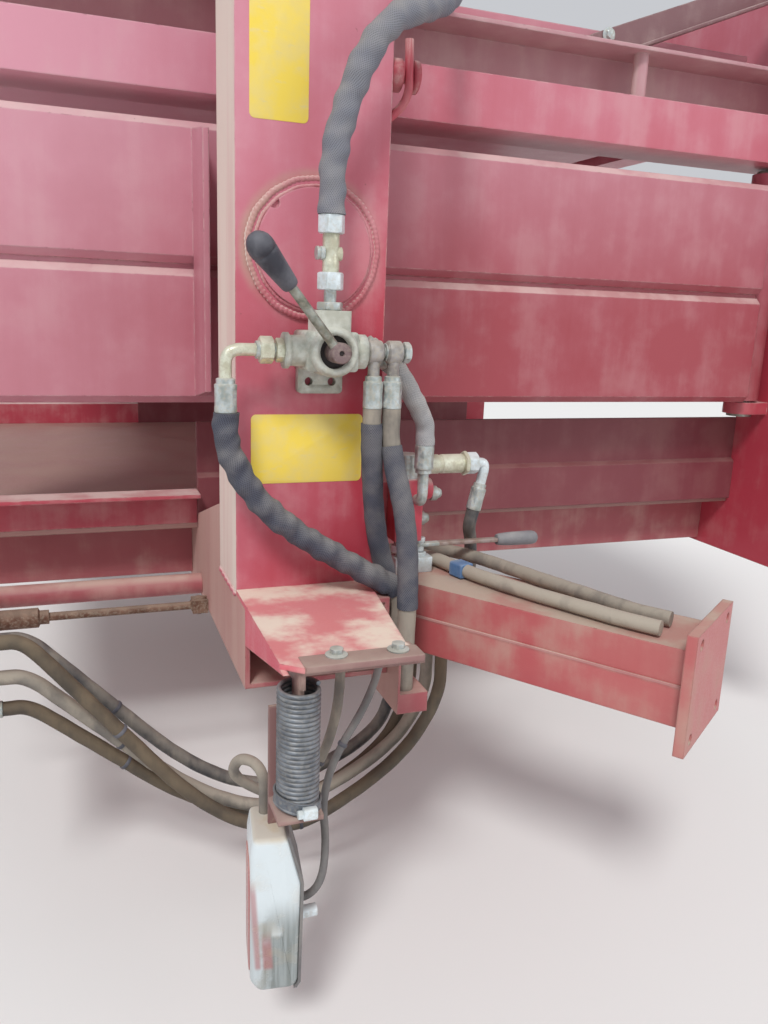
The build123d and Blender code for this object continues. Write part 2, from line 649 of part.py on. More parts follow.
side_door -= rod((HINGE_X, -hinge_y, SIDE_DOOR_BOTTOM), (HINGE_X, -hinge_y, SIDE_DOOR_TOP), pin_hole_d)
rib = slab_yz([(-DOOR_FACE, SIDE_DOOR_BOTTOM + DOOR_BEND), (-DOOR_FACE, SIDE_DOOR_TOP - DOOR_BEND),
               (-DOOR_FACE - RIB_OUT, SIDE_DOOR_TOP - DOOR_BEND - RIB_CHAMFER),
               (-DOOR_FACE - RIB_OUT, SIDE_DOOR_BOTTOM + DOOR_BEND + RIB_CHAMFER)], RIB_X, RIB_X + RIB_T)
side_door += rib

# Lugs and pin for a ram's eye, with the eye's rod and the barrel, on a ram's own plane
door_from_face = POST_FACE - DOOR_FACE
lug_inner = EYE_T / 2 + LUG_GAP


def ram_lugs():
    """Two lugs on the door with the pin between them."""
    outline = Pos(0, -PIN_FROM_FACE) * Circle(LUG_R)
    outline += Pos(0, -(PIN_FROM_FACE + door_from_face) / 2) * Rectangle(2 * LUG_R, door_from_face - PIN_FROM_FACE)
    lug = extrude(Plane.XZ * outline, LUG_T)
    lugs = Pos(0, -lug_inner, 0) * lug + Pos(0, lug_inner + LUG_T, 0) * lug
    reach = lug_inner + LUG_T + RAM_PIN_HEAD
    return lugs + rod((0, -reach, -PIN_FROM_FACE), (0, reach, -PIN_FROM_FACE), RAM_PIN_D)


def ram_rod():
    """The piston rod and its eye, whose long hole takes up the door's arc."""
    neck_top = -PIN_FROM_FACE + EYE_R + EYE_NECK
    eye = Plane.XZ * (Pos(0, -PIN_FROM_FACE) * Circle(EYE_R))
    eye += Plane.XZ * (Pos(0, (neck_top - PIN_FROM_FACE) / 2) * Rectangle(ROD_D, neck_top + PIN_FROM_FACE))
    slot = Plane.XZ * (Pos(0, -PIN_FROM_FACE) * SlotCenterToCenter(EYE_SLOT, RAM_PIN_D + 2 * PIN_GAP))
    plate = Pos(0, EYE_T / 2, 0) * extrude(eye, EYE_T)
    plate += rod((0, 0, -POST_D - BARREL_OUT + ROD_IN), (0, 0, neck_top), ROD_D)
    return plate - Pos(0, EYE_T / 2, 0) * extrude(slot, EYE_T) - rod(
        (0, -EYE_R, -PIN_FROM_FACE), (0, EYE_R, -PIN_FROM_FACE), RAM_PIN_D + 2 * PIN_GAP)


def ram_barrel():
    """The barrel through the leg, closed by a round, notched cover on the outer face."""
    barrel = rod((0, 0, -POST_D - BARREL_OUT), (0, 0, 0), BARREL_D)
    barrel -= rod((0, 0, -POST_D - BARREL_OUT), (0, 0, -BARREL_CAP), ROD_D + 2 * ROD_GAP)
    barrel += rod((0, 0, 0), (0, 0, COVER_T), 2 * COVER_R)
    plate = rod((0, 0, COVER_T), (0, 0, COVER_T + COVER_PLATE_T), 2 * COVER_PLATE_R)
    notch_x = COVER_PLATE_R * math.cos(math.radians(COVER_NOTCH_TURN))
    notch_y = COVER_PLATE_R * math.sin(math.radians(COVER_NOTCH_TURN))
    plate -= rod((notch_x, notch_y, COVER_T), (notch_x, notch_y, COVER_T + COVER_PLATE_T), COVER_NOTCH_D)
    return barrel + plate


side_door += side_ram * ram_lugs()
both_sides("side_door", side_door)
both_sides("side_ram", side_ram * ram_barrel())
both_sides("side_ram_rod", side_ram * ram_rod())
both_sides("top_ram", top_ram * ram_barrel())
both_sides("top_ram_rod", top_ram * ram_rod())

# Top door, a plate under lengthwise box ribs with one cross rib under the rams
top_door_top = TOP_DOOR_BOTTOM + DOOR_D
top_door = block(REAR_X, DOOR_FRONT_X, -top_half_w, top_half_w, TOP_DOOR_BOTTOM, TOP_DOOR_BOTTOM + DOOR_PLATE)
for index in range(TOP_RIB_COUNT):
    rib_y = (index - (TOP_RIB_COUNT - 1) / 2) * rib_pitch
    top_door += block(REAR_X, DOOR_FRONT_X, rib_y - TOP_RIB_W / 2, rib_y + TOP_RIB_W / 2,
                      TOP_DOOR_BOTTOM, top_door_top)
    top_door -= block(REAR_X, DOOR_FRONT_X - DOOR_SKIN, rib_y - TOP_RIB_W / 2 + DOOR_SKIN,
                      rib_y + TOP_RIB_W / 2 - DOOR_SKIN, TOP_DOOR_BOTTOM + DOOR_PLATE, top_door_top - DOOR_SKIN)
top_door += block(POST_X - LUG_R, POST_X + LUG_R, -top_half_w, top_half_w, TOP_DOOR_BOTTOM, top_door_top)
top_door -= block(POST_X - LUG_R + DOOR_SKIN, POST_X + LUG_R - DOOR_SKIN, -top_half_w, top_half_w,
                  TOP_DOOR_BOTTOM + DOOR_PLATE, top_door_top - DOOR_SKIN)
top_door += block(DOOR_FRONT_X - DOOR_SKIN, DOOR_FRONT_X, -top_half_w, top_half_w, TOP_DOOR_BOTTOM, top_door_top)
top_door += block(DOOR_FRONT_X, HINGE_X, -top_barrel_y, top_barrel_y,
                  hinge_z - HINGE_WEB_T / 2, hinge_z + HINGE_WEB_T / 2)
top_door += rod((HINGE_X, -top_barrel_y, hinge_z), (HINGE_X, top_barrel_y, hinge_z), HINGE_BARREL_D)
top_door -= rod((HINGE_X, -top_barrel_y, hinge_z), (HINGE_X, top_barrel_y, hinge_z), pin_hole_d)
top_door += top_ram * ram_lugs()
top_door += mirror(top_ram * ram_lugs(), about=Plane.XZ)
NODES["top_door"] = top_door

# Hinge pins with a head at each end
pins = Part()
side_pin_low, side_pin_high = side_lug_levels[0], side_lug_levels[1] + HINGE_LUG_T
for side in (-1, 1):
    pins += rod((HINGE_X, side * hinge_y, side_pin_low), (HINGE_X, side * hinge_y, side_pin_high), HINGE_PIN_D)
    for foot, head in ((side_pin_low - PIN_HEAD_T, side_pin_low), (side_pin_high, side_pin_high + PIN_HEAD_T)):
        pins += rod((HINGE_X, side * hinge_y, foot), (HINGE_X, side * hinge_y, head), PIN_HEAD_D)
pins += rod((HINGE_X, -top_half_w, hinge_z), (HINGE_X, top_half_w, hinge_z), HINGE_PIN_D)
NODES["hinge_pins"] = pins
# Outrigger arm at the right end of the cross-beam, with its end plate
along = Vector(math.cos(math.radians(ARM_ANGLE)), -math.sin(math.radians(ARM_ANGLE)), 0)
across = Vector(-along.Y, along.X, 0)
arm_start = Vector(post_front_x, -POST_FACE + ARM_INSET, 0)


def on_arm(run, offset):
    """Where a point of the arm lies, given along its outer edge and in from that edge."""
    point = arm_start + along * run + across * offset
    return (point.X - POST_X, -POST_FACE - point.Y)


def arm_outline(wall, end):
    """The arm seen from above, cut off flush with the cross-beam's front face."""
    outer_start = arm_start + across * wall
    inner_start = arm_start + across * (ARM_W - wall)
    points = [outer_start - along * ((outer_start.X - arm_start.X) / along.X), outer_start + along * end,
              inner_start + along * end, inner_start - along * ((inner_start.X - arm_start.X) / along.X)]
    return [(p.X, p.Y) for p in points]


arm = slab_xy(arm_outline(0, ARM_L), BEAM_TOP - ARM_H, BEAM_TOP)
arm -= slab_xy(arm_outline(ARM_WALL, ARM_L), BEAM_TOP - ARM_H + ARM_WALL, BEAM_TOP - ARM_WALL)
plate_middle = arm_start + across * (ARM_W / 2) + along * ARM_L
arm_plane = Plane(origin=(plate_middle.X, plate_middle.Y, BEAM_TOP - ARM_H / 2), x_dir=across, z_dir=along)
arm += arm_plane * extrude(Rectangle(ARM_PLATE_W, ARM_PLATE_H) - GridLocations(
    ARM_HOLE_PITCH, ARM_HOLE_PITCH, 2, 2) * Circle(ARM_HOLE_D / 2), ARM_PLATE_T)
seat_x, seat_out = BRANCH_END
seat = rod(local(seat_x, seat_out, BRANCH_SEAT_UP - BRANCH_SEAT_T), local(seat_x, seat_out, BRANCH_SEAT_UP),
           2 * BRANCH_SEAT_R)
seat_run = (Vector(*local(seat_x, seat_out, 0)) - arm_start).dot(along)
seat_wall = [arm_start + along * (seat_run + step) + across * inset
             for step, inset in ((-BRANCH_SEAT_R, ARM_W), (BRANCH_SEAT_R, ARM_W),
                                 (BRANCH_SEAT_R, ARM_W + 2 * BRANCH_SEAT_R),
                                 (-BRANCH_SEAT_R, ARM_W + 2 * BRANCH_SEAT_R))]
seat += slab_xy([(p.X, p.Y) for p in seat_wall], HUB_Z + BRANCH_SEAT_UP - BRANCH_SEAT_T, HUB_Z + BRANCH_SEAT_UP)
NODES["arm"] = arm + seat

# Rope hook on the leg's front side: a boss with a disc on its end and a bent bar between them
hook_bar_out = HOOK_DISC[0][1] + HOOK_BAR_D / 2 - HOOK_IN
hook_bar, _, _ = bent_bar([local(x, hook_bar_out, z) for x, z in HOOK_BAR], HOOK_BAR_D)
hook_at, hook_to = local(POST_W / 2, -HOOK_IN, HOOK_UP), local(POST_W, -HOOK_IN, HOOK_UP)
NODES["post_hook"] = turned(hook_at, hook_to, HOOK_BOSS) + turned(hook_at, hook_to, HOOK_DISC) + hook_bar - leg

# Lamp shelf on the cross-beam's end, with a tapered flange down its rear edge
shelf = slab_xy([local(x, out, 0)[:2] for x, out in SHELF_OUTLINE], BEAM_TOP, BEAM_TOP + SHELF_T)
shelf += slab_yz([(-beam_end, BEAM_TOP - SHELF_FLANGE_H), (-beam_end, BEAM_TOP),
                  (-POST_FACE - SHELF_OUT, BEAM_TOP)], post_rear_x, post_rear_x + SHELF_T)
both_sides("lamp_shelf", shelf)

# Under the shelf a strap with a tongue holds the spring, and a hanger holds the lamp to its foot
under = BEAM_TOP - HUB_Z
strap_low = under - SHELF_T
spring_top = strap_low - STRAP_SHOULDER
spring_low = spring_top - SPRING_TURNS * SPRING_WIRE
hanger_low = spring_low - SHELF_T
lamp_top = hanger_low - LAMP_GAP
spring_at = (SPRING_X, SPRING_OUT)
bore_d = SPRING_D - 2 * SPRING_WIRE
plate_xs = (STRAP_XS[0], STRAP_XS[0] + SHELF_T)
mounting = local_block(STRAP_XS, STRAP_OUTS, (strap_low, under))
mounting += local_block(plate_xs, STRAP_OUTS, (spring_top, strap_low))
mounting += local_block(plate_xs, TONGUE_OUTS, (spring_top - TONGUE_DROP, spring_top))
mounting += rod(local(*spring_at, hanger_low), local(*spring_at, spring_low + PLUG_UP), bore_d - 2 * PLUG_GAP)
mounting += local_block((HANGER_XS[0], HANGER_FOOT_X), (HANGER_OUTS[0], SPRING_OUT + SPRING_D / 2),
                        (hanger_low, spring_low))
mounting += local_block(HANGER_XS, HANGER_OUTS, (lamp_top, lamp_top + HANGER_TOP))
both_sides("lamp_mounting", mounting)
both_sides("lamp_spring", rod(local(*spring_at, spring_low), local(*spring_at, spring_top), SPRING_D)
           - rod(local(*spring_at, spring_low), local(*spring_at, spring_top), bore_d))

# Lamp with a tapered housing, a flat lens to the rear and a stud for its cable to the front
lamp_place = Pos(*local(LAMP_X, LAMP_OUT, lamp_top)) * Rot(0, 0, LAMP_TURN)
lamp_section = Plane.XZ * Polygon(*LAMP_OUTLINE, align=None)
lamp = Pos(0, LAMP_W / 2, 0) * extrude(lamp_section, LAMP_W, dir=(0, -1, 0))
lens_x = min(x for x, _ in LAMP_OUTLINE)
lens = block(lens_x - LENS_T, lens_x, -LENS_W / 2, LENS_W / 2, *LENS_LEVELS)
stud_x, stud_out = LAMP_STUD
stud_z = lamp_top - LAMP_STUD_DROP
lamp_stud = rod(local(stud_x - LAMP_STUD_IN, stud_out, stud_z), local(stud_x, stud_out, stud_z), LAMP_STUD_D)
both_sides("lamp_body", lamp_place * fillet(lamp.edges().filter_by(Axis.Y), LAMP_FILLET) + lamp_stud)
both_sides("lamp_lens", lamp_place * lens)

# Selector valve: a turned body with a seat for the lever, four ports and a foot
hub, hub_ahead = local(VALVE_X, 0, 0), local(VALVE_X, PORT_OUT, 0)
valve = turned(hub, hub_ahead, VALVE_BODY)
for reach, table in ((-1, PORT_LEFT), (1, PORT_RIGHT)):
    valve += turned(hub_ahead, local(VALVE_X + reach, PORT_OUT, 0), table)
top_boss = local_block((VALVE_X - TOP_BOSS / 2, VALVE_X + TOP_BOSS / 2),
                       (PORT_OUT - TOP_BOSS / 2, PORT_OUT + TOP_BOSS / 2), (0, TOP_BOSS_TOP))
valve += fillet(top_boss.edges().filter_by(Axis.Z), CAST_FILLET)
saddle = local_block((VALVE_X - SADDLE_W / 2, VALVE_X + SADDLE_W / 2), (0, SADDLE_OUT),
                     (-SADDLE_H / 2, SADDLE_H / 2))
valve += fillet(saddle.edges().filter_by(Axis.Y), CAST_FILLET)
foot = local_block((VALVE_X - FOOT_W / 2, VALVE_X + FOOT_W / 2), (0, FOOT_T), (FOOT_BOTTOM, FOOT_TOP))
foot = fillet(foot.edges().filter_by(Axis.Y), CAST_FILLET)
hole_z = FOOT_BOTTOM + FOOT_HOLE_UP
for side in (-1, 1):
    hole_x = VALVE_X + side * FOOT_HOLE_PITCH / 2
    foot -= rod(local(hole_x, 0, hole_z), local(hole_x, FOOT_T, hole_z), FOOT_HOLE_D)
rear_out, rear_up = PORT_REAR
valve += foot + rod(local(VALVE_X, rear_out, rear_up), local(REAR_NECK_X[0], rear_out, rear_up), PORT_REAR_D)
valve -= rod(local(VALVE_X, SEAT_OUT, 0), local(VALVE_X, SEAT_OUT + PORT_OUT, 0), SEAT_D)
NODES["selector_valve"] = valve

lever_face = local(VALVE_X, LEVER_HUB_OUT, 0)
lever = rod(local(VALVE_X, SEAT_OUT + LEVER_GAP, 0), lever_face, LEVER_HUB_D)
lever -= rod(local(VALVE_X, LEVER_HUB_OUT - LEVER_DIMPLE_T, 0), lever_face, LEVER_DIMPLE_D)
lever += rod(local(VALVE_X, LEVER_BAR_OUT, 0), local(*GRIP_FOOT), LEVER_BAR_D)
NODES["selector_lever"] = lever + turned(local(*GRIP_FOOT), local(*GRIP_TIP), GRIP)

# Fittings round the selector valve
top_fitting = stack(TOP_STACK, lambda z: local(VALVE_X, PORT_OUT, z))
NODES["top_fitting"] = top_fitting + rod(*[local(VALVE_X + x, PORT_OUT, TEST_PORT_UP) for x in TEST_PORT_ENDS],
                                         TEST_PORT_D)
left_fitting = stack(LEFT_STACK, lambda x: local(VALVE_X - x, PORT_OUT, 0))
left_end = VALVE_X - LEFT_STACK[-1][2]
left_bend, _, _ = bent_bar([local(left_end, PORT_OUT, 0), local(LEFT_DROP_X, PORT_OUT, 0),
                            local(LEFT_DROP_X, PORT_OUT, -LEFT_DROP)], BEND_D)
NODES["left_fitting"] = left_fitting + left_bend + ferrule(
    local(LEFT_DROP_X, PORT_OUT, -LEFT_DROP), local(LEFT_DROP_X, PORT_OUT, -LEFT_DROP - FERRULE_L), FERRULE_D)

right_fitting = stack(RIGHT_STACK, lambda x: local(VALVE_X + x, PORT_OUT, 0))
for face in BANJO_FACES:
    near, middle = VALVE_X + face, VALVE_X + face + BANJO_L / 2
    right_fitting += turned(local(near, PORT_OUT, 0), local(near + BANJO_L, PORT_OUT, 0), BANJO)
    right_fitting += rod(local(middle, PORT_OUT, 0), local(middle, PORT_OUT, -FERRULE_DROP), BEND_D)
    right_fitting += ferrule(local(middle, PORT_OUT, -FERRULE_DROP),
                             local(middle, PORT_OUT, -FERRULE_DROP - FERRULE_L), BANJO_FERRULE_D)
neck_end = local(REAR_NECK_X[1], rear_out, rear_up)
rear_fitting = rod(local(REAR_NECK_X[0], rear_out, rear_up), neck_end, BEND_D)
rear_dip = Vector(1, 0, -REAR_NECK_DIP).normalized()
rear_fitting += ferrule(neck_end, Vector(*neck_end) + rear_dip, FERRULE_D)
hose_3_start = Vector(REAR_NECK_X[1], rear_out, rear_up) + rear_dip * FERRULE_L
NODES["right_fitting"] = right_fitting + rear_fitting

# Second valve block on a bracket, and the shut-off valve under it
block_mid = -BLOCK_IN - BLOCK_D / 2
block_low, block_high = BLOCK_BOTTOM, BLOCK_TOP
valve_block = local_block((BLOCK_X0, BLOCK_X1), (-BLOCK_IN - BLOCK_D, -BLOCK_IN), (block_low, block_high))
valve_block += local_block((POST_W / 2, BLOCK_X0), (-BLOCK_IN - BLOCK_D, -BLOCK_IN - BLOCK_D + BRACKET_T),
                           (block_low + BRACKET_T, block_high - BRACKET_T))
valve_block += rod(local(BLOCK_X1, block_mid, CAP_UP), local(BLOCK_X1 + CAP_L, block_mid, CAP_UP), CAP_D)
shutoff_outs = (-SHUTOFF_IN - SHUTOFF_W, -SHUTOFF_IN)
shutoff_mid = -SHUTOFF_IN - SHUTOFF_W / 2
shutoff = local_block((SHUTOFF_X0, SHUTOFF_X1), shutoff_outs, (under, SHUTOFF_TOP))
shutoff -= rod(local(STEM_X, shutoff_mid, SHUTOFF_TOP - STEM_DEPTH - LEVER_GAP),
               local(STEM_X, shutoff_mid, SHUTOFF_TOP), STEM_D + 2 * LEVER_GAP)
valve_block += shutoff + rod(local(SHUTOFF_PIPE_X, block_mid, SHUTOFF_TOP),
                             local(SHUTOFF_PIPE_X, block_mid, block_low), SHUTOFF_PIPE_D)
NODES["valve_block"] = valve_block

bar_top = BAR_UP + BAR_T / 2
stem_low = SHUTOFF_TOP - STEM_DEPTH
shutoff_lever = rod(local(STEM_X, shutoff_mid, stem_low), local(STEM_X, shutoff_mid, bar_top), STEM_D)
shutoff_lever += local_block((STEM_X - BAR_TAIL, BAR_GRIP_X), (shutoff_mid - BAR_W / 2, shutoff_mid + BAR_W / 2),
                             (BAR_UP - BAR_T / 2, bar_top))
NODES["shutoff_lever"] = shutoff_lever + turned(
    local(BAR_GRIP_X, shutoff_mid, BAR_UP), local(BAR_GRIP_X + 1, shutoff_mid, BAR_UP), BAR_GRIP)

# Fittings on the second block, and the ends of the hoses that lie on the arm
fittings = rod(local(ADAPTER_BASE_X, block_mid, block_high),
               local(ADAPTER_BASE_X, block_mid, ADAPTER_UP + ADAPTER_BASE_D / 2), ADAPTER_BASE_D)
fittings += stack(ADAPTER_STACK, lambda x: local(VALVE_X + x, block_mid, ADAPTER_UP))
bend_points = [Vector(x, block_mid, ADAPTER_UP + z) for x, z in ADAPTER_BEND]
adapter_bend, _, _ = bent_bar([local(*point) for point in bend_points], BEND_D)
branch_way = (bend_points[-1] - bend_points[-2]).normalized()
branch_start = bend_points[-1] + branch_way * FERRULE_L
fittings += adapter_bend + ferrule(local(*bend_points[-1]), local(*branch_start), SMALL_FERRULE_D)
for x, z in DOME_NUTS:
    fittings += turned(local(x, block_mid, z), local(x + 1, block_mid, z), DOME_NUT)
inlet_bend, _, _ = bent_bar([local(INLET_X, -INLET_IN, INLET_TOP - FERRULE_L),
                             local(INLET_X, -INLET_IN, INLET_BOTTOM),
                             local(INLET_X, -BLOCK_IN, INLET_BOTTOM)], BEND_D)
fittings += inlet_bend + ferrule(local(INLET_X, -INLET_IN, INLET_TOP - FERRULE_L),
                                 local(INLET_X, -INLET_IN, INLET_TOP), FERRULE_D)
branch_end = local(*BRANCH_END, BRANCH_SEAT_UP)
fittings += ferrule(branch_end, local(*BRANCH_END, BRANCH_SEAT_UP + FERRULE_L), SMALL_FERRULE_D)
arm_face = POST_W / 2
for out in ARM_HOSE_OUTS:
    fittings += rod(local(arm_face, out, ARM_HOSE_UP), local(arm_face + ARM_NECK_L, out, ARM_HOSE_UP), BEND_D)
    fittings += ferrule(local(arm_face + ARM_NECK_L, out, ARM_HOSE_UP),
                        local(arm_face + ARM_NECK_L + 1, out, ARM_HOSE_UP), SMALL_FERRULE_D)
for offset in ARM_HOSE_OFFSETS:
    fittings += ferrule(local(*on_arm(ARM_L, offset), ARM_HOSE_UP), local(*on_arm(0, offset), ARM_HOSE_UP),
                        SMALL_FERRULE_D)
NODES["block_fittings"] = fittings

# Clamp where the valve's hoses end, on a strip down the cross-beam's front side
clamp = local_block((POST_W / 2, POST_W / 2 + CLAMP_W), (0, CLAMP_OUT), (CLAMP_TOP - CLAMP_H, CLAMP_TOP))
NODES["hose_clamp"] = clamp + local_block((POST_W / 2, POST_W / 2 + CLAMP_STRIP_T), (0, CLAMP_OUT),
                                          (CLAMP_TOP, CLAMP_STRIP_TOP))

# Elbow at the top hose's end, on the channel's flange
elbow, _, _ = bent_bar([local(*point) for point in TOP_HOSE_BEND], TOP_HOSE_BEND_D)
NODES["top_hose_elbow"] = elbow + ferrule(local(*TOP_HOSE_BEND[0]), local(*TOP_HOSE[-1]), FERRULE_D)

# Thin rod behind the cross-beam, from a clevis on the bracket to an eye between two lugs
rod_way = (-DRAW_ROD_IN, DRAW_ROD_UP)
bracket_front = REAR_BRACKET_X + REAR_BRACKET_T
eye_x = -POST_W / 2 - DRAW_ROD_EYE_D / 2
draw_rod = rod(local(bracket_front, *rod_way), local(eye_x, *rod_way), DRAW_ROD_D)
draw_rod += turned(local(bracket_front + DRAW_ROD_GAP, *rod_way), local(eye_x, *rod_way), DRAW_ROD_CLEVIS)
half_eye, lug_out = DRAW_ROD_EYE_T / 2, DRAW_ROD_EYE_T / 2 + DRAW_ROD_LUG_T
for reach, diameter in ((half_eye, DRAW_ROD_EYE_D), (lug_out, DRAW_ROD_PIN_D)):
    draw_rod += rod(local(eye_x, -DRAW_ROD_IN - reach, DRAW_ROD_UP),
                    local(eye_x, -DRAW_ROD_IN + reach, DRAW_ROD_UP), diameter)
for side in (-1, 1):
    lug_outs = (-DRAW_ROD_IN + side * half_eye, -DRAW_ROD_IN + side * lug_out)
    draw_rod += local_block((eye_x - DRAW_ROD_PIN_D, -POST_W / 2), lug_outs,
                            (DRAW_ROD_UP - DRAW_ROD_PIN_D, DRAW_ROD_UP + DRAW_ROD_PIN_D))
NODES["draw_rod"] = draw_rod

# Ends of the bundle's hoses, on the rear bracket and under the arm
bundle_ends = Part()
arm_low = BEAM_TOP - ARM_H - HUB_Z
for inward, rear_z, _, _, front_x in BUNDLE:
    bundle_ends += ferrule(local(bracket_front, -inward, rear_z), local(0, -inward, rear_z), SMALL_FERRULE_D)
    bundle_ends += ferrule(local(front_x, -inward, arm_low), local(front_x, -inward, arm_low - 1), SMALL_FERRULE_D)
NODES["bundle_ends"] = bundle_ends

# Hoses. Each list of corners starts and ends at a ferrule
NODES["top_hose"] = hose("top hose", TOP_HOSE, TOP_HOSE_D)
NODES["left_hose"] = hose("left hose", LEFT_HOSE, WRAPPED_HOSE_D)
NODES["valve_hose_1"] = hose("valve hose 1", VALVE_HOSE_1, HOSE_D)
NODES["valve_hose_2"] = hose("valve hose 2", VALVE_HOSE_2, HOSE_D)
rear_run = [hose_3_start, hose_3_start + rear_dip * REAR_RUN]
NODES["valve_hose_3"] = hose("valve hose 3", rear_run + list(VALVE_HOSE_3), HOSE_D)
branch_x, branch_out = BRANCH_END
NODES["branch_hose"] = hose("branch hose", [
    branch_start, branch_start + branch_way * BRANCH_RUN, (branch_x, branch_out, BRANCH_CORNER_UP),
    (branch_x, branch_out, BRANCH_SEAT_UP + FERRULE_L)], THIN_HOSE_D)

arm_hoses = Part()
for out, offset, corners in zip(ARM_HOSE_OUTS, ARM_HOSE_OFFSETS, ARM_HOSE_CORNERS):
    plan = [(arm_face + ARM_NECK_L + FERRULE_L, out), *corners, on_arm(ARM_HOSE_LAST_TURN, offset),
            on_arm(ARM_L - FERRULE_L, offset)]
    arm_hoses += hose("arm hose", [(x, y, ARM_HOSE_UP) for x, y in plan], THIN_HOSE_D)
NODES["arm_hoses"] = arm_hoses

bundle = Part()
for inward, rear_z, low_up, rise_up, front_x in BUNDLE:
    plan = [(bracket_front + FERRULE_L, rear_z), (BUNDLE_RUN_X, rear_z), (BUNDLE_LOW_X, low_up),
            (BUNDLE_RISE_X, rise_up), (front_x, BUNDLE_TURN_UP), (front_x, arm_low - FERRULE_L)]
    bundle += hose("bundle hose", [(x, -inward, z) for x, z in plan], THIN_HOSE_D)
NODES["hose_bundle"] = bundle

cables = hose("lamp cable", CABLE_POINTS, CABLE_D) + hose("lamp loop", LOOP_POINTS, LOOP_D)
NODES["lamp_cables"] = cables + mirror(cables, about=Plane.XZ)

for name, shape in NODES.items():
    export_step(Part() + shape, f"parts/{name}.step")
print(len(NODES), "nodes")
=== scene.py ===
"""Bale chamber pressure frame section, dressed for its renders.

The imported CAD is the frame. Each of its pieces gets a finish here, and finer surfaces stand in for the
hoses, springs, lamps and fittings, at the places that the frame gives them. Everything is in metres, except
where a comment says millimetres.
"""
import json
import logging
import math
from dataclasses import dataclass, field
from enum import Enum
from typing import Sequence

import bmesh
import bpy
import numpy as np
from mathutils import Euler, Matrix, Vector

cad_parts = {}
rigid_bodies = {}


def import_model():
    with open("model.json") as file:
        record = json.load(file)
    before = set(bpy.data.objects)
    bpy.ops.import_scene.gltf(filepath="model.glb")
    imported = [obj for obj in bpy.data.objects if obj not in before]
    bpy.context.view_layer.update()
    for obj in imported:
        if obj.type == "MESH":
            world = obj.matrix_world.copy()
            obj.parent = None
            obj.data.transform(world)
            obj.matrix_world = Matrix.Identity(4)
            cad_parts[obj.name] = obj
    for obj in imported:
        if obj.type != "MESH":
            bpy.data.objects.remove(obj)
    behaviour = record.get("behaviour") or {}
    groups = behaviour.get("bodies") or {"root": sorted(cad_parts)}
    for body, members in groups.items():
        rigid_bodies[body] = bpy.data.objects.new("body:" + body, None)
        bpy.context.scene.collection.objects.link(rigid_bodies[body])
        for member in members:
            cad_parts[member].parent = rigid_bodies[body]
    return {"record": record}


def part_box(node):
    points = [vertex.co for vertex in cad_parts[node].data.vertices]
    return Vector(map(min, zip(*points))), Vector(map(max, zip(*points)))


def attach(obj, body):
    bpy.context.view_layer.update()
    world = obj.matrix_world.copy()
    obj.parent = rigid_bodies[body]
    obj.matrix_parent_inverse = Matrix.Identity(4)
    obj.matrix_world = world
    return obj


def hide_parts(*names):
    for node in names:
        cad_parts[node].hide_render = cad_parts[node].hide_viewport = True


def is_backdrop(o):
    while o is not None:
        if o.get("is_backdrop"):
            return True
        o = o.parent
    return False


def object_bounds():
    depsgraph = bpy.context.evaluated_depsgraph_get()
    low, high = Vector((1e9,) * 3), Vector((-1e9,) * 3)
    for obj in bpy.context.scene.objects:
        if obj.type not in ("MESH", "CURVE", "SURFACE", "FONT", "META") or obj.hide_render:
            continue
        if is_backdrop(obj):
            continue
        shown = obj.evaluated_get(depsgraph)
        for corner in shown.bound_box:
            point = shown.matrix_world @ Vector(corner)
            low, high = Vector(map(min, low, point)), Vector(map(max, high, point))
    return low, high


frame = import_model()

LOG = logging.getLogger("frame_section")
Array = np.ndarray
Point = tuple[float, float, float]
Colour = tuple[float, float, float]
Profile = Sequence[tuple[float, float]]
Socket = bpy.types.NodeSocket
Material = bpy.types.Material

FULL_TURN = 2 * math.pi
X_AXIS, Y_AXIS, Z_AXIS = np.eye(3)


class Side(Enum):
    """The machine's two sides, each with the sign of its Y."""

    RIGHT = -1
    LEFT = 1

    def node(self, stem: str) -> str:
        """The name of a node that both sides have."""
        return f"{stem}_{self.name.lower()}"


def box_of(node: str) -> tuple[Array, Array, Array]:
    """A CAD node's lowest corner, its highest corner and its middle."""
    low, high = (np.array(corner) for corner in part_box(node))
    return low, high, (low + high) / 2


# Surfaces worked out on grids


def on_circle(angle: Array) -> Array:
    """Points of the unit circle, (cos a, sin a), at the angles a."""
    return np.stack([np.cos(angle), np.sin(angle)], axis=-1)


def outline_of_circle(sides: int) -> Array:
    """So many points of the unit circle at equal steps, without the first one again at the end."""
    return on_circle(np.linspace(0, FULL_TURN, sides, endpoint=False))


def outline_of_hexagon(across_flats: float, sides: int = 48) -> Array:
    """Points of a hexagon: the radius at a is half the flats over cos of a's distance from a flat's middle.

    Args:
        across_flats: Distance between two opposite flats.
        sides: How many points, a multiple of six.

    Returns:
        An array of shape (sides, 2).
    """
    angle = np.linspace(0, FULL_TURN, sides, endpoint=False)
    from_flat = np.mod(angle, math.pi / 3) - math.pi / 6
    return (across_flats / 2 / np.cos(from_flat))[:, None] * on_circle(angle)


def outline_of_panel(width: float, height: float, corner: float, steps: int = 6) -> Array:
    """Points of a rectangle with round corners: four quarter circles, each about its own corner's centre.

    Args:
        width: Size along the first axis.
        height: Size along the second axis.
        corner: Radius of each corner.
        steps: Points on each corner, less one.

    Returns:
        An array of shape (4 * (steps + 1), 2).
    """
    quarter = np.linspace(0, math.pi / 2, steps + 1)
    angle = (quarter[None, :] + np.arange(4)[:, None] * math.pi / 2).ravel()
    signs = np.repeat([(1, 1), (-1, 1), (-1, -1), (1, -1)], steps + 1, axis=0)
    centre = signs * np.array([width / 2 - corner, height / 2 - corner])
    return centre + corner * on_circle(angle)


